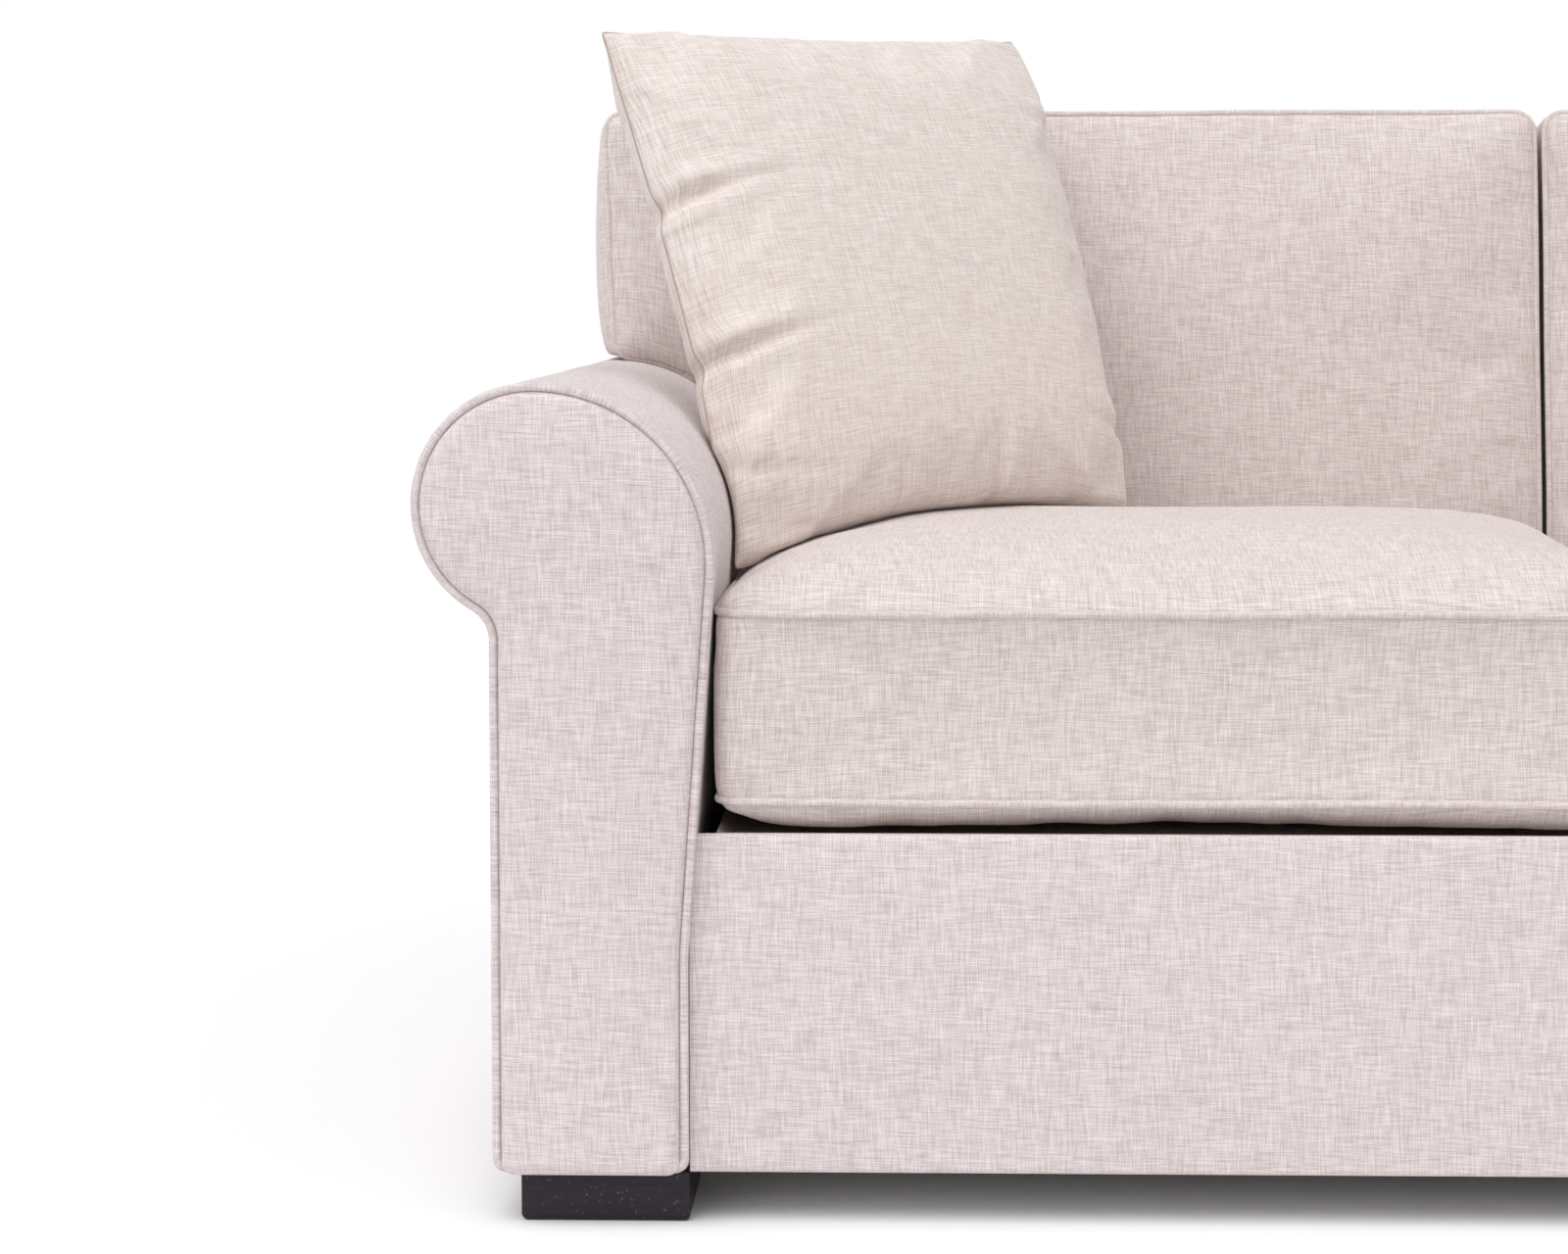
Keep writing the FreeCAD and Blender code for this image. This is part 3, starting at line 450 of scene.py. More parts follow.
def draw_scroll(bm, inset, y, step, bottom):
    """Draw the arm's outline up the outer side, over the roll and down the inside."""
    rise = math.sqrt((OUTER_ROLL + THROAT) ** 2 - (CREST + THROAT) ** 2)
    throat_level = ARM_TOP - OUTER_ROLL - rise
    throat_turn = math.atan2(rise, CREST + THROAT)
    inside = math.cos(SLANT) * (POST_WIDTH + EASE - CREST) - INNER_ROLL - EASE
    ease = Vector((POST_OUT + POST_WIDTH + EASE, y, ARM_TOP - INNER_ROLL + inside / math.sin(SLANT)))
    slope_foot = ease + Vector((-math.cos(SLANT), 0, math.sin(SLANT))) * (EASE + inset)
    outer, inner = POST_OUT + inset, POST_OUT + POST_WIDTH - inset
    pen = bmesh.ops.create_vert(bm, co=(outer + HEM, y, bottom))["vert"][0]
    pen = draw_arc(bm, pen, (outer + HEM, y, bottom + HEM), -math.pi / 2)
    pen = draw_to(bm, pen, (outer, y, throat_level), step)
    pen = draw_arc(bm, pen, (POST_OUT - THROAT, y, throat_level), throat_turn)
    pen = draw_arc(bm, pen, (POST_OUT + CREST, y, ARM_TOP - OUTER_ROLL), -math.pi / 2 - throat_turn)
    pen = draw_arc(bm, pen, (POST_OUT + CREST, y, ARM_TOP - INNER_ROLL), -math.pi / 2 - SLANT)
    pen = draw_to(bm, pen, slope_foot, step)
    pen = draw_arc(bm, pen, ease, SLANT)
    pen = draw_to(bm, pen, (inner, y, bottom + HEM), step)
    draw_arc(bm, pen, (inner - HEM, y, bottom + HEM), -math.pi / 2)
    return list(bm.verts)


# %% [markdown]
# ## Arm sleeve
# One width of cloth is pulled over the padded arm from front to back. The outline is extruded along the
# arm, the front edge is drawn in where it is sewn to the piping, and a soft unevenness of about a
# millimetre tells of padding underneath. The weave runs along the outline, so it wraps the roll.

# %% Arm sleeves
PAD = 0.012
SLEEVE_STEP = 0.04
SEWN_IN = [(0.0, 0.0035), (0.002, 0.0012), (0.005, 0.0002)]
UNEVEN, UNEVEN_PER_METRE, UNEVEN_FROM = 0.0012, 7, 0.08


def sweep_sleeve(bm, edges):
    """Extrude the outline backwards along the arm, in close rows where it is sewn in."""
    depth = ARM_HIGH.y - ARM_LOW.y
    rows = math.ceil(depth / SLEEVE_STEP)
    stops = [ARM_LOW.y + start for start, _ in SEWN_IN[1:]]
    stops += [ARM_LOW.y + depth * row / rows for row in range(1, rows + 1)]
    y = ARM_LOW.y
    for stop in stops:
        swept = bmesh.ops.extrude_edge_only(bm, edges=edges)["geom"]
        bmesh.ops.translate(bm, vec=(0, stop - y, 0), verts=only(BMVert, swept))
        edges = [e for e in only(BMEdge, swept) if e.is_boundary]
        edges = [e for e in edges if all(abs(v.co.y - stop) < TINY for v in e.verts)]
        y = stop
    bmesh.ops.recalc_face_normals(bm, faces=bm.faces)
    outermost = min(bm.faces, key=lambda face: face.calc_center_median().x)
    if outermost.normal.x > 0:
        bmesh.ops.reverse_faces(bm, faces=bm.faces)
    bm.normal_update()


def make_arm_sleeve(side):
    bm = bmesh.new()
    along = bm.verts.layers.float.new("along")
    weave = bm.loops.layers.uv.new(WEAVE)
    outline = draw_scroll(bm, 0, ARM_LOW.y, SLEEVE_STEP, UNDERSIDE)
    for before, after in zip(outline, outline[1:]):
        after[along] = before[along] + (after.co - before.co).length
    sweep_sleeve(bm, list(bm.edges))
    for face in bm.faces:
        for loop in face.loops:
            loop[weave].uv = (loop.vert[along], loop.vert.co.y)
    middle = Vector((POST_OUT + POST_WIDTH / 2, 0, UNDERSIDE))
    for vert in bm.verts:
        depth = vert.co.y - ARM_LOW.y
        drawn = sum(inset for start, inset in SEWN_IN if abs(depth - start) < TINY)
        uneven = UNEVEN * min(1, depth / UNEVEN_FROM)
        swell = uneven * noise.noise(vert.co * UNEVEN_PER_METRE + middle)
        vert.co += vert.normal * (swell - drawn - uneven)
    mirror_if_right(bm, side)
    sleeve = make_cover(bm, side, f"{side}_arm_sleeve", f"{side}_arm_cover")
    wall = sleeve.modifiers.new("padding", "SOLIDIFY")
    wall.thickness = PAD
    wall.offset = -1


for side in SIDES:
    make_arm_sleeve(side)

# %% [markdown]
# ## Scroll panels
# The front of the arm is a flat board with thin padding, so its face is nearly flat and rolls off at the
# edge. The outline is filled and inset in a few rings, each pushed a little further out. The rear panel is
# the same outline, stapled on flat.

# %% Front and rear panels
WELT = 0.0035
PUFF = [(0.002, 0.0035), (0.003, 0.0025), (0.0045, 0.0015)]
PANEL_STEP = 0.2


def make_scroll_panel(side, name, inset, y, depth, rings, node):
    bm = bmesh.new()
    face = bm.faces.new(draw_scroll(bm, inset, y, PANEL_STEP, UNDERSIDE))
    bm.normal_update()
    if face.normal.y * depth > 0:
        face.normal_flip()
    shown = extrude(bm, [face], (0, -depth, 0))[1]
    bmesh.ops.recalc_face_normals(bm, faces=bm.faces)
    for thickness, height in rings:
        bmesh.ops.inset_region(bm, faces=shown, thickness=thickness, depth=height, use_even_offset=True)
    lay_flat_weave(bm)
    mirror_if_right(bm, side)
    make_cover(bm, side, name, node, 40)


for side in SIDES:
    rise = sum(height for _, height in PUFF)
    make_scroll_panel(side, f"{side}_scroll_front", 2 * WELT, ARM_LOW.y, ARM_LOW.y - PANEL_FRONT - rise, PUFF,
                      f"{side}_arm_front_panel")
    rear_low, rear_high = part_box(f"{side}_arm_rear_panel")
    make_scroll_panel(side, f"{side}_scroll_rear", 0, rear_low.y, rear_low.y - rear_high.y, [],
                      f"{side}_arm_rear_panel")

# %% [markdown]
# ## Piping
# A cord sewn into a strip of the same cloth runs round the front of each arm and round both faces of each
# cushion. A curve with a round bevel follows the seam, and becomes a mesh whose UV map is stretched
# back to metres, so its yarns are as coarse as those beside it.

# %% Piping along a line
TUCK = 12


def make_piping(name, points, radius, closed, material, body, node):
    curve = bpy.data.curves.new(name, "CURVE")
    curve.dimensions = "3D"
    curve.bevel_depth = radius
    curve.bevel_resolution = 2
    curve.use_fill_caps = not closed
    spline = curve.splines.new("NURBS")
    spline.points.add(len(points) - 1)
    for point, co in zip(spline.points, points):
        point.co = (*co, 1)
    spline.use_cyclic_u = closed
    spline.use_endpoint_u = not closed
    spline.order_u = 3
    spline.resolution_u = 2
    holder = bpy.data.objects.new(name, curve)
    scene.collection.objects.link(holder)
    mesh = bpy.data.meshes.new_from_object(holder)
    bpy.data.objects.remove(holder)
    length = sum((b - a).length for a, b in zip(points, points[1:]))
    mesh.uv_layers[0].name = WEAVE
    for corner in mesh.uv_layers[0].data:
        corner.uv = (corner.uv.x * length, corner.uv.y * math.tau * radius)
    hand_over(mesh, name, material, body, node)
    print(name, round(length, 2), "m of piping")


for side, sign in SIDES.items():
    pen = bmesh.new()
    drawn = draw_scroll(pen, WELT, ARM_LOW.y - WELT, SLEEVE_STEP, UNDERSIDE + WELT)
    seam = [Vector((v.co.x * sign, v.co.y, v.co.z)) for v in drawn]
    pen.free()
    for tucked in range(TUCK):
        for point in (seam[tucked], seam[-1 - tucked]):
            point.y += 2 * WELT * (1 - tucked / TUCK)
    make_piping(f"{side}_arm_piping", seam, WELT, False, COVER, f"{side}_section", f"{side}_arm_welt")

# %% [markdown]
# ## Borders and end panels
# Below the cushions the frame is wrapped in padded cloth. Each border is a block with its long edges
# bevelled round, the upper ones softer than the hem. Where the two sections meet, an end panel follows the
# slope of the back, so its outline is drawn and extruded.

# %% Borders
BORDER_ROUND, HEM_ROUND = 0.0135, 0.006
MOST_ROUND = 0.45


def make_border(side, node):
    low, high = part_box(node)
    size = high - low
    middle = Matrix.Translation((low + high) / 2)
    bm = bmesh.new()
    bmesh.ops.create_cube(bm, size=1, matrix=middle @ Matrix.Diagonal((*size, 1)))
    for level, rounding in ((high.z, BORDER_ROUND), (low.z, HEM_ROUND)):
        edges = [e for e in bm.edges if e.calc_length() > max(size) - TINY
                 and all(abs(v.co.z - level) < TINY for v in e.verts)]
        soften(bm, edges, min(rounding, MOST_ROUND * min(size)), 5)
    lay_flat_weave(bm)
    make_cover(bm, side, node.replace("_border", "_skirt"), node)


for node in ("left_front_border", "chaise_front_border", "chaise_side_border"):
    make_border(node.split("_")[0], node)

# %% End panels
RAKE = math.radians(9)
BACK_TOP_THICKNESS = 0.062
BACK_FACE_TOP = REAR - BACK_TOP_THICKNESS
BACK_FACE = BACK_FACE_TOP - (BACK_TOP - DECK_TOP) * math.tan(RAKE)
END_EDGE = 0.004


def make_end_panel(side):
    low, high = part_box(f"{side}_end_panel")
    corners = [(low.y, UNDERSIDE), (REAR, UNDERSIDE), (REAR, BACK_TOP), (BACK_FACE_TOP, BACK_TOP),
               (BACK_FACE, DECK_TOP), (low.y, DECK_TOP)]
    bm = bmesh.new()
    face = bm.faces.new([bm.verts.new((low.x, y, z)) for y, z in corners])
    extrude(bm, [face], (high.x - low.x, 0, 0))
    bmesh.ops.recalc_face_normals(bm, faces=bm.faces)
    soften(bm, bm.edges, END_EDGE, 3)
    lay_flat_weave(bm)
    make_cover(bm, side, f"{side}_inner_end", f"{side}_end_panel")


for side in SIDES:
    make_end_panel(side)

# %% [markdown]
# ## Back covers
# The back is a raked box, closed in cloth. Its outline, seen from the front, follows the roll of the arm
# that it sits on. That outline is extruded from the rear, and its front points are moved onto the slope.
# The front bends at the level of the deck, so a point is drawn there on each side and the face is split.

# %% Back covers
BACK_ROUND = 0.012
CLEAR = 0.001


def slope_of_back(z):
    """How far back the sloping front of the back is at a height."""
    return BACK_FACE + max(0, z - DECK_TOP) * math.tan(RAKE)


def draw_back(bm, near, far):
    """Draw the outline at the rear, from the foot of the inner end past the arm and over the top."""
    roll = Vector((POST_OUT + CREST, REAR, ARM_TOP - INNER_ROLL))
    foot = Vector((POST_OUT + POST_WIDTH + CLEAR, REAR, UNDERSIDE))
    shoulder = roll + Vector((INNER_ROLL + CLEAR, 0, 0))
    bend = foot.lerp(shoulder, (DECK_TOP - foot.z) / (shoulder.z - foot.z))
    pen = bmesh.ops.create_vert(bm, co=(far, REAR, UNDERSIDE))["vert"][0]
    for corner in (foot, bend, shoulder):
        pen = draw_to(bm, pen, corner)
    pen = draw_arc(bm, pen, roll, math.pi / 2)
    for x, z in ((near, ARM_TOP + CLEAR), (near, BACK_TOP), (far, BACK_TOP), (far, DECK_TOP)):
        pen = draw_to(bm, pen, (x, REAR, z))
    return list(bm.verts)


def make_back_cover(side):
    low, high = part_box(f"{side}_back_cover")
    near, far = sorted(x * SIDES[side] for x in (low.x, high.x))
    bm = bmesh.new()
    face = bm.faces.new(draw_back(bm, near, far))
    sloping = extrude(bm, [face], (0, BACK_FACE - REAR, 0))[0]
    for vert in sloping:
        vert.co.y = slope_of_back(vert.co.z)
    bmesh.ops.connect_verts(bm, verts=[v for v in sloping if abs(v.co.z - DECK_TOP) < TINY])
    bmesh.ops.recalc_face_normals(bm, faces=bm.faces)
    rounded = [e for e in bm.edges if min(v.co.z for v in e.verts) > BACK_TOP - TINY]
    rounded += [e for e in bm.edges if max(v.co.x for v in e.verts) < near + TINY and e not in rounded]
    soften(bm, rounded, BACK_ROUND, 4)
    lay_flat_weave(bm)
    mirror_if_right(bm, side)
    make_cover(bm, side, f"{side}_back_shell", f"{side}_back_cover", 40)


for side in SIDES:
    make_back_cover(side)

# %% [markdown]
# ## Feet
# Plain square blocks, with the saw-sharp edges sanded off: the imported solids, bevelled.

# %% Feet
FOOT_EDGE = 0.0025


def make_feet(side):
    bm = bmesh.new()
    bm.from_mesh(frame["nodes"][f"{side}_feet"].data)
    bmesh.ops.remove_doubles(bm, verts=bm.verts, dist=TINY)
    bmesh.ops.dissolve_limit(bm, angle_limit=math.radians(2), verts=bm.verts, edges=bm.edges)
    soften(bm, bm.edges, FOOT_EDGE, 3, limited=True)
    make_piece(bm, f"{side}_block_feet", FOOT_WOOD, f"{side}_section", f"{side}_feet", 30)


for side in SIDES:
    make_feet(side)

# %% [markdown]
# ## Box cushions
# A box cushion is two panels joined by a strip, the boxing, with piping in both seams. The filling swells
# the panels into a crown and bows the boxing. A flat grid is cut to the outline, its corners are rounded,
# it is extruded through the boxing, and both panels are domed. Each row of the extrusion leaves a copy of
# the panel inside. Those ties stand for the stuffing while the cushion is blown up, and come out later.
# Everything is cut lying flat, as on a workbench.

# %% Cutting a panel
CELL = 0.016
CORNER = 0.018


def rectangle(left, right, front, rear):
    """Four corners, counter-clockwise."""
    return [Vector(corner) for corner in ((left, front), (right, front), (right, rear), (left, rear))]


def grid_lines(edges):
    """Places for grid lines: on the edges, through their rounded corners, and evenly between."""
    marks = {edge + shift * CORNER for edge in edges for shift in (-1, -0.5, 0, 0.5, 1)}
    marks = sorted(mark for mark in marks if edges[0] <= mark <= edges[-1])
    places = marks[:1]
    for low, high in zip(marks, marks[1:]):
        steps = math.ceil((high - low) / CELL)
        places += [low + (high - low) * step / steps for step in range(1, steps + 1)]
    return places


def cut_panel(bm, across, upward):
    """A flat grid whose lines run along the given edges."""
    xs, ys = grid_lines(across), grid_lines(upward)
    grid = bmesh.ops.create_grid(bm, x_segments=len(xs) - 1, y_segments=len(ys) - 1, size=0.5)
    for vert in grid["verts"]:
        column = round((vert.co.x + 0.5) * (len(xs) - 1))
        row = round((vert.co.y + 0.5) * (len(ys) - 1))
        vert.co = (xs[column], ys[row], 0)


def round_corners(bm, outline):
    """Squeeze each square outer corner of the grid into a quarter disc."""
    for before, corner, after in zip(outline[-1:] + outline, outline, outline[1:] + outline[:1]):
        if (corner - before).cross(after - corner) < 0:
            continue
        inward = (before - corner).normalized() + (after - corner).normalized()
        centre = corner + inward * CORNER
        for vert in bm.verts:
            a = (centre.x - vert.co.x) * inward.x / CORNER
            b = (centre.y - vert.co.y) * inward.y / CORNER
            if 0 < a < 1.001 and 0 < b < 1.001:
                vert.co.x = centre.x - inward.x * CORNER * a * math.sqrt(1 - b * b / 2)
                vert.co.y = centre.y - inward.y * CORNER * b * math.sqrt(1 - a * a / 2)


# %% Swelling a panel


def clamp(share):
    """Keep a share between none and all."""
    return min(1, max(0, share))


def edge_distance(place, outline):
    """A smooth distance to the outline, with no crease along the mitres."""
    total = 0
    for a, b in zip(outline, outline[1:] + outline[:1]):
        side = b - a
        share = clamp((place - a).dot(side) / side.length_squared)
        total += max((place - a - side * share).length, TINY) ** -4
    return total ** -0.25


def dome(distance, run):
    """Share of the full height on a round shoulder that starts upright at the seam."""
    return math.sqrt(1 - (1 - clamp(distance / run)) ** 2)


# %% Sewing a cushion
SEAM_WAVE, WAVES_PER_METRE = 0.0015, 5
BOXING_BULGE = 0.009


def measure_rim(bm, around):
    """Note at each point of the outline how far round it lies. Returns the whole length."""
    start = next(v for v in bm.verts if v.is_boundary)
    rim, came_by, following = [start], None, None
    while following is not start:
        came_by = next(e for e in rim[-1].link_edges if e.is_boundary and e is not came_by)
        following = came_by.other_vert(rim[-1])
        rim.append(following)
    length = 0
    for before, after in zip(rim, rim[1:]):
        before[around] = length
        length += (after.co - before.co).length
    return length


def lay_boxing_weave(faces, around, weave, length):
    """Run the weave of the boxing along its strip."""
    for face in faces:
        places = [loop.vert[around] for loop in face.loops]
        wraps = max(places) - min(places) > length / 2
        for loop, place in zip(face.loops, places):
            loop[weave].uv = (place + length if wraps and place < length / 2 else place, loop.vert.co.z)


def raise_boxing(bm, boxing, stuffing):
    """Extrude the panel row by row and bow the sides. Returns the lower and the upper panel."""
    bottom, top = list(bm.faces), list(bm.faces)
    rows = math.ceil(boxing / CELL)
    for row in range(rows):
        raised = extrude(bm, top, (0, 0, boxing / rows))[1]
        for face in top:
            face[stuffing] = 1 if row else 0
        top = raised
    bmesh.ops.recalc_face_normals(bm, faces=bm.faces)
    bm.normal_update()
    for vert in bm.verts:
        through = clamp(vert.co.z / boxing)
        vert.co += vert.normal * BOXING_BULGE * math.sqrt(4 * through * (1 - through))
    return bottom, top


def sew_cushion(bm, boxing, lower, upper):
    """Extrude a cut panel through the boxing and swell both panels. Returns the two seams."""
    around = bm.verts.layers.float.new("around")
    crease = bm.edges.layers.float.new("crease_edge")
    stuffing = bm.faces.layers.int.new("stuffing")
    weave = bm.loops.layers.uv.new(WEAVE)
    length = measure_rim(bm, around)
    for face in bm.faces:
        for loop in face.loops:
            loop[weave].uv = loop.vert.co.xy
    bottom, top = raise_boxing(bm, boxing, stuffing)
    panels = set(bottom) | set(top)
    lay_boxing_weave([f for f in bm.faces if f not in panels], around, weave, length)
    seams = []
    for panel, swell, sign in ((bottom, lower, -1), (top, upper, 1)):
        verts = {v for f in panel for v in f.verts}
        seam = {v for v in verts if any(f not in panels for f in v.link_faces)}
        for vert in verts - seam:
            vert.co.z += sign * swell(vert.co.xy)
        for edge in bm.edges:
            edge[crease] = 1 if seam.issuperset(edge.verts) else edge[crease]
        for vert in seam:
            vert.co += SEAM_WAVE * noise.noise_vector(vert.co * WAVES_PER_METRE)
        seams.append(sorted(seam, key=lambda v: v[around]))
    bm.verts.index_update()
    return [[v.index for v in seam] for seam in seams]


def keep_cushion(bm, body, under, **notes):
    """Lift a sewn cushion onto its lower crown, make it a piece and note what fitting it needs."""
    bmesh.ops.translate(bm, vec=(0, 0, under), verts=bm.verts)
    piece = make_piece(bm, f"{body}_box", CUSHION, body, f"{body}_cushion", 180)
    return {"piece": piece, "body": body, **notes}


# %% [markdown]
# ## Decks
# Under the cushions, a padded cloth lies on the webbing. It hangs a little between the borders, so it is
# cut like a cushion's panel and swelled downwards.

# %% Decks
DECK_SAG, DECK_RUN = 0.01, 0.012


def make_deck(side):
    low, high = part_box(f"{side}_deck")
    outline = rectangle(low.x, high.x, low.y, high.y)
    bm = bmesh.new()
    cut_panel(bm, [low.x, high.x], [low.y, high.y])
    bmesh.ops.translate(bm, vec=(0, 0, low.z), verts=bm.verts)
    for vert in extrude(bm, bm.faces[:], (0, 0, high.z - low.z))[0]:
        vert.co.z = high.z - DECK_SAG * dome(edge_distance(vert.co.xy, outline), DECK_RUN)
    bmesh.ops.recalc_face_normals(bm, faces=bm.faces)
    cloth = PLAIN_FINISHES["deck_cloth"]
    deck = make_piece(bm, f"{side}_deck_pad", cloth, f"{side}_section", f"{side}_deck")


for side in SIDES:
    make_deck(side)

# %% [markdown]
# ## Seat cushions
# Each lies on the deck between its neighbours. The crown is high, because the foam is wrapped in fibre.
# Underneath, the front rolls down onto the border and the corners stay up.

# %% Seat cushions
SEAT_UNDER, SEAT_BOXING, SEAT_CROWN = 0.024, 0.147, 0.056
SEAT_RUN, SIDE_RUN, FRONT_RUN = 0.17, 0.12, 0.035
ROOM, BULGE_ROOM, FRONT_ROOM, ARM_ROOM = 0.0045, 0.002, 0.005, 0.008


def make_seat_cushion(name):
    low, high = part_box(f"{name}_seat_cushion")
    half = ((high - low) / 2).xy
    left, left_room = (-half.x, ARM_ROOM) if name == "left" else (ROOM - half.x, BULGE_ROOM)
    right, right_room = (half.x, ARM_ROOM) if name == "chaise" else (half.x - ROOM, BULGE_ROOM)
    front, rear = ROOM - half.y, half.y - ROOM
    outline = rectangle(left, right, front, rear)

    def crown(place):
        return SEAT_CROWN * dome(edge_distance(place, outline), SEAT_RUN)

    def underside(place):
        across, onward = min(place.x - left, right - place.x), min(place.y - front, rear - place.y)
        return SEAT_UNDER * dome(across, SIDE_RUN) * dome(onward, FRONT_RUN)

    bm = bmesh.new()
    cut_panel(bm, [left, right], [front, rear])
    round_corners(bm, outline)
    seams = sew_cushion(bm, SEAT_BOXING, underside, crown)
    limits = (Vector((left - left_room, front - FRONT_ROOM)), Vector((right + right_room, rear + BULGE_ROOM)))
    place = Matrix.Translation(((low.x + high.x) / 2, (low.y + high.y) / 2, low.z))
    return keep_cushion(bm, f"{name}_seat", SEAT_UNDER, seams=seams, outline=outline, limits=limits,
                        levels=(SEAT_UNDER + SEAT_BOXING, high.z - low.z), place=place)


cushions = [make_seat_cushion(name) for name in ("left", "middle", "chaise")]

# %% [markdown]
# ## Back cushions
# They lean on the back. The two end ones have an ear that lies over the arm, so the lower edge of the ear
# follows the roll. The panel is cut flat, with a notch for the arm, and turned up onto the slope later.

# %% Back cushions
BACK_REAR, BACK_BOXING, BACK_CROWN = 0.022, 0.128, 0.036
BACK_CUSHION_HEIGHT = 0.576
REAR_RUN, CROWN_RUN_SHARE = 0.09, 0.6
EAR, EAR_FLARE, EAR_BOW, EAR_SPARE = 0.148, 0.016, 0.035, 0.01
EAR_END, BOW_FULLNESS = 0.05, 0.7
EAR_SAG, EAR_FADE = 0.075, 0.15


def ear_dip(x, notch):
    """How far the ear's lower edge drops as it follows the roll down to the notch."""
    beyond = x - POST_OUT - CREST
    if beyond < 0:
        return 0
    if x <= notch:
        return min(INNER_ROLL - math.sqrt(max(0, INNER_ROLL ** 2 - beyond ** 2)), EAR_SAG)
    return EAR_SAG * max(0, 1 - (x - notch) / EAR_FADE) ** 2


def shape_ear(bm, left, near, bottom, step, top):
    """Bow the ear's end, flare it towards the top and let its lower edge follow the roll."""
    for vert in bm.verts:
        upper = max(0, (vert.co.y - step) / (top - step))
        end = max(0, 1 - (vert.co.x - left) / EAR_END) if vert.co.y > step - 10 * TINY else 0
        through = clamp(vert.co.z / BACK_BOXING)
        bow = EAR_BOW * 4 * through * (1 - through) * math.sin(math.pi * min(1, upper)) ** BOW_FULLNESS
        vert.co.x -= end * (EAR_FLARE * upper + bow)
        share = 1 - upper if upper > 0 else (vert.co.y - bottom) / (step - bottom)
        vert.co.y -= ear_dip(vert.co.x, near) * clamp(share)


def make_back_cushion(name, ear):
    """Drawn with the ear on the left; the chaise's is mirrored when it is put in place."""
    low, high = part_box(f"{name}_seat_cushion")
    near, far = sorted(x * SIDES.get(name, 1) for x in (low.x, high.x))
    near, far = near + ROOM, far - ROOM
    left = near - EAR if ear else near
    top, bottom = BACK_CUSHION_HEIGHT, -BACK_REAR * math.tan(RAKE)
    step = (ARM_TOP - DECK_TOP - (BACK_REAR + BACK_BOXING) * math.sin(RAKE)) / math.cos(RAKE)
    outline = [Vector(corner) for corner in ((near, bottom), (far, bottom), (far, top), (left, top))]
    if ear:
        outline += [Vector((left, step)), Vector((near, step))]

    def crown(place):
        return BACK_CROWN * dome(edge_distance(place, outline), (top - step) * CROWN_RUN_SHARE)

    def rear(place):
        return BACK_REAR * dome(edge_distance(place, outline), REAR_RUN)

    bm = bmesh.new()
    cut_panel(bm, [left, near, far] if ear else [near, far], [bottom, step, top])
    notched = [f for f in bm.faces if f.calc_center_median().x < near and f.calc_center_median().y < step]
    bmesh.ops.delete(bm, geom=notched, context="FACES")
    round_corners(bm, outline)
    seams = sew_cushion(bm, BACK_BOXING, rear, crown)
    if ear:
        shape_ear(bm, left, near, bottom, step, top)
    reach = EAR_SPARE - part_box("left_back_cushion")[0].x if ear else BULGE_ROOM - left
    limits = (Vector((-reach, bottom - BULGE_ROOM)), Vector((far + BULGE_ROOM, top + BULGE_ROOM)))
    lean = Matrix.Rotation(math.pi / 2 - RAKE, 4, "X")
    place = Matrix.Translation((0, BACK_FACE - CLEAR, DECK_TOP)) @ lean
    if name == "chaise":
        place = Matrix.Diagonal((-1, 1, 1, 1)) @ place
    seam_level = BACK_REAR + BACK_BOXING
    return keep_cushion(bm, f"{name}_back", BACK_REAR, seams=seams, outline=outline, limits=limits,
                        levels=(seam_level, seam_level + BACK_CROWN), place=place)


cushions += [make_back_cushion(name, name != "middle") for name in ("left", "middle", "chaise")]

# %% [markdown]
# ## Throw pillow
# A knife-edge pillow is two squares of cloth sewn together flat and stuffed. Two grids share their rim.
# The sides of the rim are drawn in and the corners stay out as points.

# %% Throw pillow
PILLOW_SIDE, PILLOW_THICK, PILLOW_DRAW = 0.48, 0.15, 0.006
PILLOW_CELLS, PILLOW_ROUND = 60, 0.4
PILLOW_TURNS = [(39.6, "Z"), (67.1, "X"), (1.5, "Z")]
# Stands for the bearing of points that aren't on the rim
INSIDE = 9.0


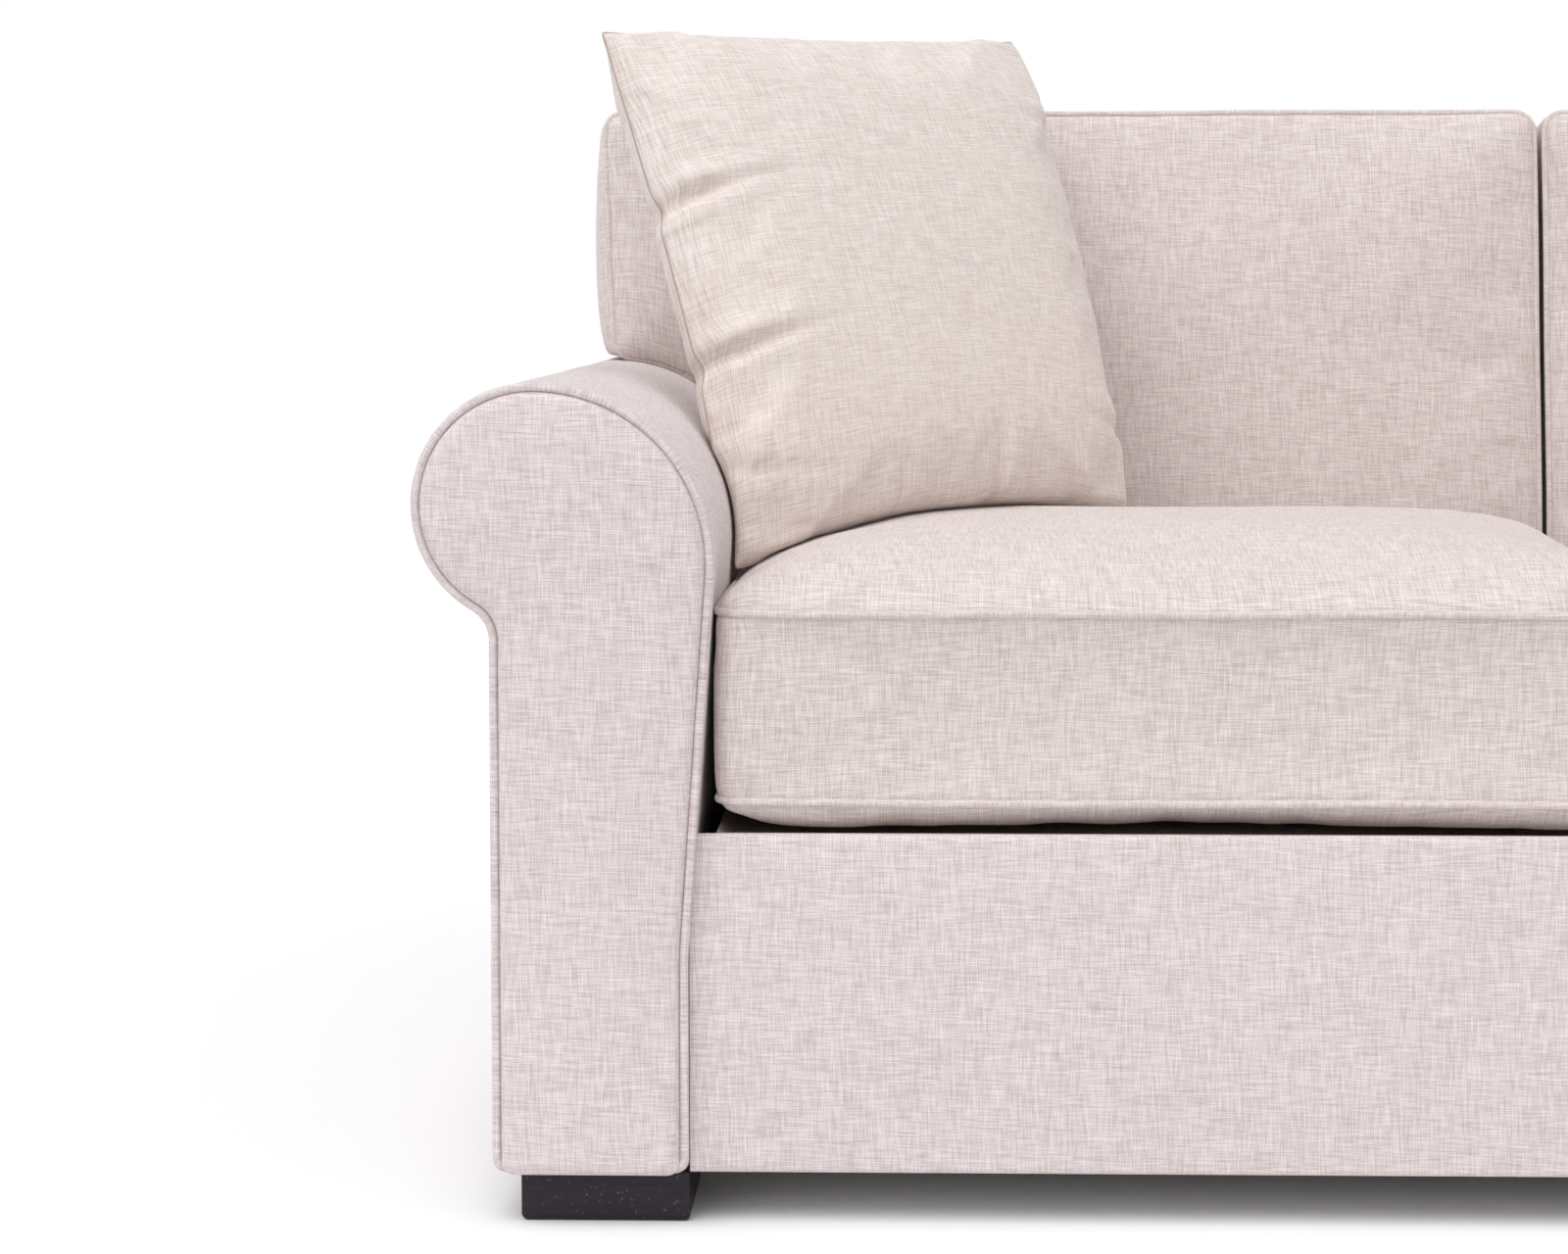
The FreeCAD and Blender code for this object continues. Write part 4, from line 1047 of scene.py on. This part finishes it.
def make_pillow():
    low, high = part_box("throw_pillow")
    half = PILLOW_SIDE / 2
    bm = bmesh.new()
    bearing = bm.verts.layers.float.new("bearing")
    crease = bm.edges.layers.float.new("crease_edge")
    weave = bm.loops.layers.uv.new(WEAVE)
    bmesh.ops.create_grid(bm, x_segments=PILLOW_CELLS, y_segments=PILLOW_CELLS, size=1)
    copies = bmesh.ops.duplicate(bm, geom=bm.verts[:] + bm.edges[:] + bm.faces[:])["geom"]
    bmesh.ops.reverse_faces(bm, faces=only(BMFace, copies))
    rear = set(only(BMVert, copies))
    for face in bm.faces:
        for loop in face.loops:
            loop[weave].uv = loop.vert.co.xy * half
    for vert in bm.verts:
        u, v, _ = vert.co
        vert[bearing] = math.atan2(v, u) if vert.is_boundary else INSIDE
        swell = PILLOW_THICK / 2 * max(0, (1 - u * u) * (1 - v * v)) ** PILLOW_ROUND
        vert.co.x = u * (half - PILLOW_DRAW * (1 - v * v))
        vert.co.y = v * (half - PILLOW_DRAW * (1 - u * u))
        vert.co.z = -swell if vert in rear else swell
    bmesh.ops.remove_doubles(bm, verts=bm.verts, dist=TINY)
    rim = sorted((v for v in bm.verts if v[bearing] != INSIDE), key=lambda v: v[bearing])
    for edge in bm.edges:
        edge[crease] = 1 if set(rim).issuperset(edge.verts) else 0
    bm.verts.index_update()
    seam = [v.index for v in rim]
    piece = make_piece(bm, "knife_edge_pillow", PILLOW, "pillow", "throw_pillow", 180)
    place = Matrix.Translation((low + high) / 2)
    for angle, axis in PILLOW_TURNS:
        place = place @ Matrix.Rotation(math.radians(angle), 4, axis)
    return {"piece": piece, "seams": [seam], "place": place}


pillow = make_pillow()

# %% [markdown]
# ## Filling them
# Blender's cloth does what fibre filling does. The seams are pinned, gravity is off, and a small pressure
# pushes the cloth out for a few frames. A little spare cloth lets it wrinkle near corners and seams. All
# pieces are blown up in the same frames, which lets the computer work on them side by side.

# %% Cloth simulation
FRAMES = 14
CLOTH = {"quality": 4, "mass": 0.3, "tension_stiffness": 25, "compression_stiffness": 25,
         "shear_stiffness": 8, "bending_stiffness": 0.6, "use_pressure": True, "uniform_pressure_force": 2.0}
SLACK, PILLOW_SLACK = 0.01, 0.03
FARTHEST, PILLOW_FARTHEST = 0.03, 0.008


def add_filling(soft, slack):
    """Cloth with its seams pinned and pressure inside."""
    piece = soft["piece"]
    pins = piece.vertex_groups.new(name="seams")
    pins.add([index for seam in soft["seams"] for index in seam], 1.0, "REPLACE")
    cloth = piece.modifiers.new("filling", "CLOTH")
    cloth.point_cache.frame_end = FRAMES
    cloth.collision_settings.use_collision = False
    for key, value in CLOTH.items():
        setattr(cloth.settings, key, value)
    cloth.settings.shrink_min = -slack
    cloth.settings.vertex_group_mass = pins.name
    cloth.settings.effector_weights.gravity = 0


def keep_shape(soft, graph, farthest):
    """Write the blown-up shape back, with each point's move softly capped."""
    piece = soft["piece"]
    blown = piece.evaluated_get(graph).data.vertices
    moves = [after.co - before.co for after, before in zip(blown, piece.data.vertices)]
    piece.modifiers.clear()
    piece.vertex_groups.clear()
    for vert, move in zip(piece.data.vertices, moves):
        vert.co += move.normalized() * farthest * (1 - math.exp(-move.length / farthest))
    print(piece.name, "moved up to", round(max(move.length for move in moves) * 1000, 1), "mm")


for soft in cushions:
    add_filling(soft, SLACK)
add_filling(pillow, PILLOW_SLACK)
for step in range(1, FRAMES + 1):
    scene.frame_set(step)
graph = bpy.context.evaluated_depsgraph_get()
for soft in cushions:
    keep_shape(soft, graph, FARTHEST)
keep_shape(pillow, graph, PILLOW_FARTHEST)
scene.frame_set(1)

# %% [markdown]
# ## Keeping cushions in their places
# The ties inside come out, and the panels are inset and raised a little, which leaves a groove for the
# piping. Real cushions press flat on the deck, the back and each other. Points that the filling pushed past
# those are eased back, softly at the sides. Then each cushion is put in its place, kept clear of the arm's
# roll, piped along its pinned seams, and rounded by one subdivision.

# %% Seams in a groove
GROOVE, GROOVE_DEPTH = 0.005, 0.0025


def panels_between(bm, crease):
    """The faces of each sewn panel: those that can be reached without crossing a seam."""
    left_over, panels = set(bm.faces), []
    while left_over:
        spread, panel = [left_over.pop()], []
        while spread:
            panel.append(spread.pop())
            beside = {f for e in panel[-1].edges if e[crease] < 1 for f in e.link_faces} & left_over
            left_over -= beside
            spread += beside
        panels.append(panel)
    return panels


def recess_seams(soft):
    """Take the ties out, and let the panels stand proud of their seams."""
    mesh = soft["piece"].data
    bm = bmesh.new()
    bm.from_mesh(mesh)
    bm.verts.ensure_lookup_table()
    crease = bm.edges.layers.float["crease_edge"]
    stuffing = bm.faces.layers.int["stuffing"]
    seams = [[tuple(bm.verts[index].co) for index in seam] for seam in soft["seams"]]
    bmesh.ops.delete(bm, geom=[face for face in bm.faces if face[stuffing]], context="FACES")
    bmesh.ops.recalc_face_normals(bm, faces=bm.faces)
    for panel in sorted(panels_between(bm, crease), key=len):
        bmesh.ops.inset_region(bm, faces=panel, thickness=GROOVE, depth=GROOVE_DEPTH, use_even_offset=True,
                               use_interpolate=True)
    bm.verts.index_update()
    at = {tuple(vert.co): vert for vert in bm.verts}
    sewn = {at[place] for seam in seams for place in seam}
    for edge in bm.edges:
        edge[crease] = 1 if sewn.issuperset(edge.verts) else 0
    soft["seams"] = [[at[place].index for place in seam] for seam in seams]
    bm.to_mesh(mesh)
    bm.free()


# %% Fitting, placing and piping the cushions
PIPING, PIPING_PROUD = 0.0033, 0.0008
SHOULDER = 0.8


def ease_back(value, low, high, seam_low, seam_high):
    """Bring a value that bows out past a seam to no further than its limit."""
    if value > seam_high:
        room = high - seam_high
        return high - room * math.exp((seam_high - value) / room)
    if value < seam_low:
        room = seam_low - low
        return low + room * math.exp((value - seam_low) / room)
    return value


def fit_cushion(soft):
    """Hold a cushion to its box: flat below, no higher than its crown, bowed a little at the sides."""
    verts = soft["piece"].data.vertices
    (low_x, low_y), (high_x, high_y) = soft["limits"]
    xs, ys = [corner.x for corner in soft["outline"]], [corner.y for corner in soft["outline"]]
    seam, top = soft["levels"]
    peak = max(v.co.z for v in verts)
    for vert in verts:
        x, y, z = vert.co
        z = seam + (top - seam) * ((z - seam) / (peak - seam)) ** SHOULDER if z > seam else max(z, 0)
        x = ease_back(x, low_x, high_x, min(xs), max(xs))
        y = ease_back(y, low_y, high_y, min(ys), max(ys))
        vert.co = (x, y, z)


def keep_off_arm(piece, sign):
    """Push points that lie inside the arm's inner roll out to its surface."""
    crest = Vector((POST_OUT + CREST, 0, ARM_TOP - INNER_ROLL))
    reach = INNER_ROLL + 2 * CLEAR
    for vert in piece.data.vertices:
        place = Vector((vert.co.x * sign, 0, vert.co.z)) - crest
        if place.z < 0:
            place.x = max(place.x, reach)
        elif place.x > 0 and place.length < reach:
            place = place.normalized() * reach
        elif place.x <= 0:
            place.z = max(place.z, reach)
        vert.co.x, vert.co.z = (place.x + crest.x) * sign, place.z + crest.z


def finish_soft(piece):
    finer = piece.modifiers.new("finer", "SUBSURF")
    finer.levels = finer.render_levels = 1


def finish_cushion(soft):
    piece, body = soft["piece"], soft["body"]
    recess_seams(soft)
    fit_cushion(soft)
    piece.data.transform(soft["place"])
    if soft["place"].determinant() < 0:
        piece.data.flip_normals()
    if body in ("left_back", "chaise_back"):
        keep_off_arm(piece, 1 if body == "left_back" else -1)
    for seam, face in zip(soft["seams"], ("first", "second")):
        sewn = [piece.data.vertices[index] for index in seam]
        points = [vert.co + vert.normal * PIPING_PROUD for vert in sewn]
        name = f"{piece.name}_{face}_piping"
        make_piping(name, points, PIPING, True, CUSHION, body, None)
    finish_soft(piece)


for soft in cushions:
    finish_cushion(soft)

# %% [markdown]
# ## Pull folds
# Where the filling has slumped, the cloth is pulled towards the seam in short folds: a narrow valley
# between two soft ridges, which fades inwards. The two deepest lie on the pillow's left side, and shorter
# puckers along the left, the bottom and the right. The pillow's weight also flattens it where it lies on
# the seat. Folds this sharp would need a very fine simulation, so a formula presses them in.

# %% Pressing in the folds
# Side, place along it from -1 to 1, depth, reach into the face, slope
PULLS = [("left", 0.28, 0.014, 0.055, 0.1), ("left", -0.33, 0.014, 0.055, 0.15),
         ("left", -0.7, 0.004, 0.05, -0.2), ("bottom", 0.15, 0.007, 0.045, 0.1),
         ("bottom", -0.35, 0.004, 0.04, 0.2), ("bottom", 0.62, 0.004, 0.04, -0.2),
         ("right", -0.72, 0.006, 0.04, 0.2), ("right", 0.55, 0.004, 0.05, 0.1)]
INTO = {"left": Vector((1, 0, 0)), "right": Vector((-1, 0, 0)), "bottom": Vector((0, 1, 0))}
VALLEY, RIDGE = 0.006, 0.011
# Height as a share of the depth, and place beside the valley
RIDGES = ((0.8, 0.014), (0.3, -0.013))
FOLD_START, FOLD_FADE = 0.006, 1.5
DRAWN_SHARE, DRAWN_REACH = 0.6, 0.03


def fold_at(place):
    """How far the pull folds push a place on the pillow out, and draw its edge in."""
    half = PILLOW_SIDE / 2
    rise, drawn = 0, Vector()
    for side, level, depth, reach, slope in PULLS:
        inward = max(0, half + place.dot(INTO[side]))
        across = (place.x if side == "bottom" else place.y) - level * half - slope * inward
        fade = math.exp(-(inward / reach) ** FOLD_FADE) * (1 - math.exp(-inward / FOLD_START))
        ridges = [share * math.exp(-((across - shift) / RIDGE) ** 2) for share, shift in RIDGES]
        rise += depth * fade * (sum(ridges) - math.exp(-(across / VALLEY) ** 2))
        drawn += INTO[side] * depth * DRAWN_SHARE * math.exp(-(across / RIDGE) ** 2 - inward / DRAWN_REACH)
    return rise, drawn


# %% Finishing the pillow
SEAM = 0.0008
FRONT_FULL, REAR_FULL = 0.65, 0.75
CORNER_FLAT = 0.55
DROOP, DROOP_REACH = Vector((-0.006, -0.004, -0.018)), 0.1
GATHER, GATHER_REACH = Vector((-0.03, 0, 0)), 0.2
ABOVE_ALL = 2


def rest_on(piece, below):
    """Raise points that lie under the surface of the cushion below."""
    bm = bmesh.new()
    bm.from_mesh(below.data)
    surface = BVHTree.FromBMesh(bm)
    bm.free()
    for vert in piece.data.vertices:
        hit = surface.ray_cast(Vector((vert.co.x, vert.co.y, ABOVE_ALL)), Vector((0, 0, -1)))[0]
        if hit and vert.co.z < hit.z + CLEAR:
            vert.co.z = hit.z + CLEAR


def fold_pillow(mesh):
    """Cut the cloth finer, fill it out, fold it, let one lower corner hang and gather the other."""
    bm = bmesh.new()
    bm.from_mesh(mesh)
    bmesh.ops.subdivide_edges(bm, edges=bm.edges, cuts=1, use_grid_fill=True)
    peak = max(abs(vert.co.z) for vert in bm.verts)
    half = PILLOW_SIDE / 2
    by_arm, by_back = Vector((-half, -half)), Vector((half, -half))
    droop = pillow["place"].to_3x3().inverted() @ DROOP
    for vert in bm.verts:
        rise, drawn = fold_at(vert.co)
        hang = math.exp(-((vert.co.xy - by_arm).length / DROOP_REACH) ** 2)
        gather = math.exp(-((vert.co.xy - by_back).length / GATHER_REACH) ** 2)
        front = vert.co.z > 0
        full = PILLOW_THICK / 2 * (abs(vert.co.z) / peak) ** (FRONT_FULL if front else REAR_FULL)
        full *= 1 - CORNER_FLAT * min(1, abs(vert.co.x * vert.co.y) / half ** 2) ** 4
        vert.co.z = full + rise if front else -full
        vert.co += drawn + droop * hang + GATHER * gather
    bm.to_mesh(mesh)
    bm.free()


def finish_pillow():
    piece = pillow["piece"]
    fold_pillow(piece.data)
    piece.data.transform(pillow["place"])
    rest_on(piece, cushions[0]["piece"])
    keep_off_arm(piece, 1)
    points = [piece.data.vertices[index].co.copy() for index in pillow["seams"][0]]
    # The seam cord is darker than the pillow: painted shade where the seam folds in.
    make_piping("pillow_seam", points, SEAM, True, SEAM_SHADE, "pillow", None)
    finish_soft(piece)


finish_pillow()

# %% [markdown]
# ## The floor
# A wide white floor takes the shadow of the feet and the base. It isn't part of the sofa.

# %% Floor
FLOOR_SIZE = 14
floor_material, tree, shader = new_material("studio_floor")
fill_in(tree, shader, {"Base Color": linear("F2F2F2"), "Roughness": 0.9})
bm = bmesh.new()
bmesh.ops.create_grid(bm, x_segments=1, y_segments=1, size=FLOOR_SIZE / 2)
floor_mesh = bpy.data.meshes.new("floor")
bm.to_mesh(floor_mesh)
bm.free()
floor_mesh.materials.append(floor_material)
floor = bpy.data.objects.new("floor", floor_mesh)
scene.collection.objects.link(floor)
